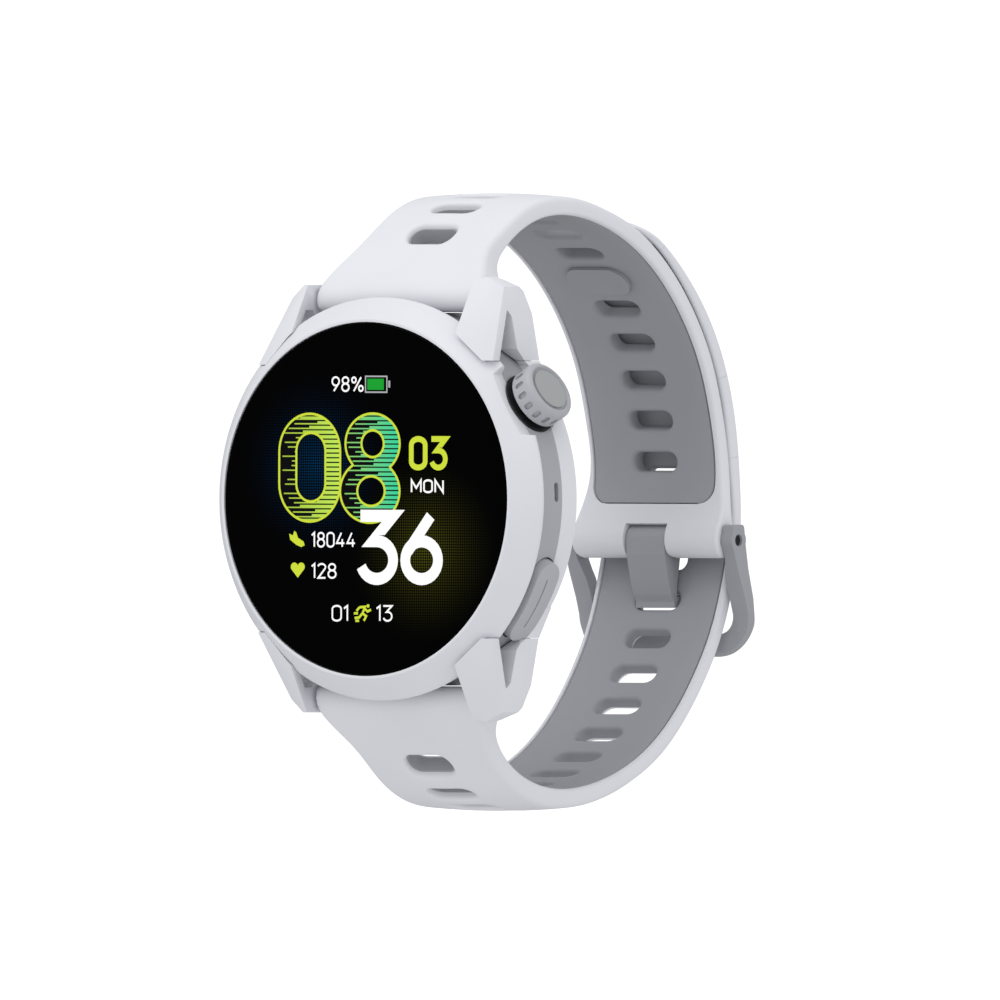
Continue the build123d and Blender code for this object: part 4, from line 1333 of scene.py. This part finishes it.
# ---- stage -----------------------------------------------------------------------------------------
@dataclass
class Studio:
    """Camera, floor and soft light."""

    right: tuple = (0.799598, 0.600529, 0.002795)
    up: tuple = (-0.003248, -0.000330, 0.999995)
    back: tuple = (0.600527, -0.799603, 0.001686)
    shift_right: float = 14.4767
    shift_up: float = -0.1058
    width: float = 107.594              # what the camera sees across, in millimetres
    distance: float = 600.0
    above: float = 0.95                 # brightness of the surroundings overhead
    below: float = 0.9
    mirrored: float = 0.25              # their brightness in reflections
    backdrop: float = 1.1               # their brightness to the eye
    floor_half: float = 0.9             # in metres, like the gap under the watch
    floor_gap: float = 0.0002

    def camera(self) -> None:
        """Build the camera."""
        data = bpy.data.cameras.new("camera")
        data.type = "ORTHO"
        data.ortho_scale = self.width * MM
        data.clip_end = 10.0
        camera = bpy.data.objects.new("camera", data)
        right, up, back = Vector(self.right), Vector(self.up), Vector(self.back)
        front = Vector((0, from_front(0), 0))
        spot = right * self.shift_right + up * self.shift_up + back * self.distance + front
        camera.matrix_world = Matrix.Translation(spot * MM) @ Matrix((right, up, back)).transposed().to_4x4()
        bpy.context.scene.collection.objects.link(camera)
        bpy.context.scene.camera = camera

    def floor(self, bottom: float) -> None:
        """Build the pale floor.

        Args:
            bottom: Height of the object's lowest point, in metres.
        """
        mesh = bpy.data.meshes.new("floor")
        half, z = self.floor_half, bottom - self.floor_gap
        corners = [(-half, -half, z), (half, -half, z), (half, half, z), (-half, half, z)]
        mesh.from_pydata(corners, [], [(0, 1, 2, 3)])
        n = Nodes("pale_floor")
        place = n.add("TexCoord").outputs["Object"]
        drift = n.add("TexNoise", {"Vector": place, "Scale": 8.0}).outputs[0]
        shader = n.add("BsdfPrincipled", {
            "Base Color": n.ramp(drift, (0.93, 0.93, 0.94), (0.96, 0.96, 0.965)), "Roughness": 0.9,
            "Specular IOR Level": 0.1, "Emission Color": (1, 1, 1, 1), "Emission Strength": 0.3,
        })
        mesh.materials.append(n.surface(shader))
        floor = bpy.data.objects.new("floor", mesh)
        floor.visible_diffuse = floor.visible_glossy = False
        bpy.context.scene.collection.objects.link(floor)
        floor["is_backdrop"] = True

    def light(self, name: str, spot: tuple, size: float, power: float) -> None:
        """Add a soft area light that faces the watch.

        Args:
            name: The light's name.
            spot: Its place, in metres.
            size: Its width and height, in metres.
            power: Its power, in watts.
        """
        data = bpy.data.lights.new(name, "AREA")
        data.shape, data.size, data.size_y, data.energy = "RECTANGLE", size, size, power
        lamp = bpy.data.objects.new(name, data)
        lamp.location = spot
        lamp.rotation_euler = (Vector((0, 0.02, 0)) - Vector(spot)).to_track_quat("-Z", "Y").to_euler()
        bpy.context.scene.collection.objects.link(lamp)

    def world(self) -> None:
        """Make the surroundings: white to the eye, dimmer in reflections."""
        world = bpy.data.worlds.new("studio")
        world.use_nodes = True
        tree = world.node_tree
        tree.nodes.clear()
        rays, soft, dim, mix, seen, last, out, place, ramp, split = (
            tree.nodes.new("ShaderNode" + kind) for kind in (
                "LightPath", "Background", "Background", "MixShader", "Background", "MixShader",
                "OutputWorld", "TexCoord", "MapRange", "SeparateXYZ"))
        tree.links.new(place.outputs["Generated"], split.inputs[0])
        tree.links.new(split.outputs[2], ramp.inputs["Value"])
        for index, value in enumerate((-0.8, 0.9, self.below, self.above), 1):
            ramp.inputs[index].default_value = value
        tree.links.new(ramp.outputs[0], soft.inputs[1])
        soft.inputs[0].default_value = (0.98, 0.985, 1.0, 1)
        dim.inputs[0].default_value, dim.inputs[1].default_value = (1, 1, 1, 1), self.mirrored
        seen.inputs[0].default_value, seen.inputs[1].default_value = (1, 1, 1, 1), self.backdrop
        for a, b in ((rays.outputs["Is Glossy Ray"], mix.inputs[0]), (soft.outputs[0], mix.inputs[1]),
                     (dim.outputs[0], mix.inputs[2]), (rays.outputs["Is Camera Ray"], last.inputs[0]),
                     (mix.outputs[0], last.inputs[1]), (seen.outputs[0], last.inputs[2]),
                     (last.outputs[0], out.inputs[0])):
            tree.links.new(a, b)
        bpy.context.scene.world = world
        bpy.context.scene.view_settings.view_transform = "Standard"

    def build(self, bottom: float) -> None:
        """Build the whole stage."""
        self.world()
        self.camera()
        self.floor(bottom)
        self.light("key", (-0.15, -0.45, 0.85), 0.7, 2.6)
        self.light("side", (0.9, -0.1, 0.3), 0.5, 0.25)


def dress(frame: dict) -> None:
    """Give every remaining CAD node its finish.

    Args:
        frame: The loaded frame.
    """
    for finish, names in NODE_FINISH.items():
        for name in names.split():
            mesh = frame["nodes"][name]
            for slot in mesh.material_slots:
                slot.material = finish.material
            if not mesh.material_slots:
                LOG.warning("%s has no material slot", name)


def main() -> None:
    """Build the watch round the frame."""
    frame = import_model()
    low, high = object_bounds()
    Studio().build(low[2])
    dress(frame)
    strap = Strap()
    pieces = strap.build()
    strap.join(pieces)
    for piece in pieces:
        LOG.info("%s: %d faces", piece.name, len(piece.data.polygons))
    case = Case()
    join(case.glass(), "glass_black", "watch", "cover_glass")
    bevelled(frame, "bezel_ring", "bezel", Palette.BEZEL, 0.18)
    bevelled(frame, "lug_frame", "lugs", Palette.BEZEL, 0.28)
    bevelled(frame, "button_cap", "side_button", Palette.CROWN, 0.35, "button", "crown")
    bevelled(frame, "buckle_frame", "buckle", Palette.BUCKLE, 0.45, "buckle", "buckle", 4)
    bevelled(frame, "buckle_tongue", "tongue", Palette.BUCKLE, 0.35, "tongue", "buckle", 4)
    join(case.screws(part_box("case_screws")[1][1]), "steel", "watch", "case_screws")
    join(Crown().knob(), "crown", "crown", "crown_knob")
    Display().build()
    low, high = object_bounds()


if __name__ == "__main__":
    main()
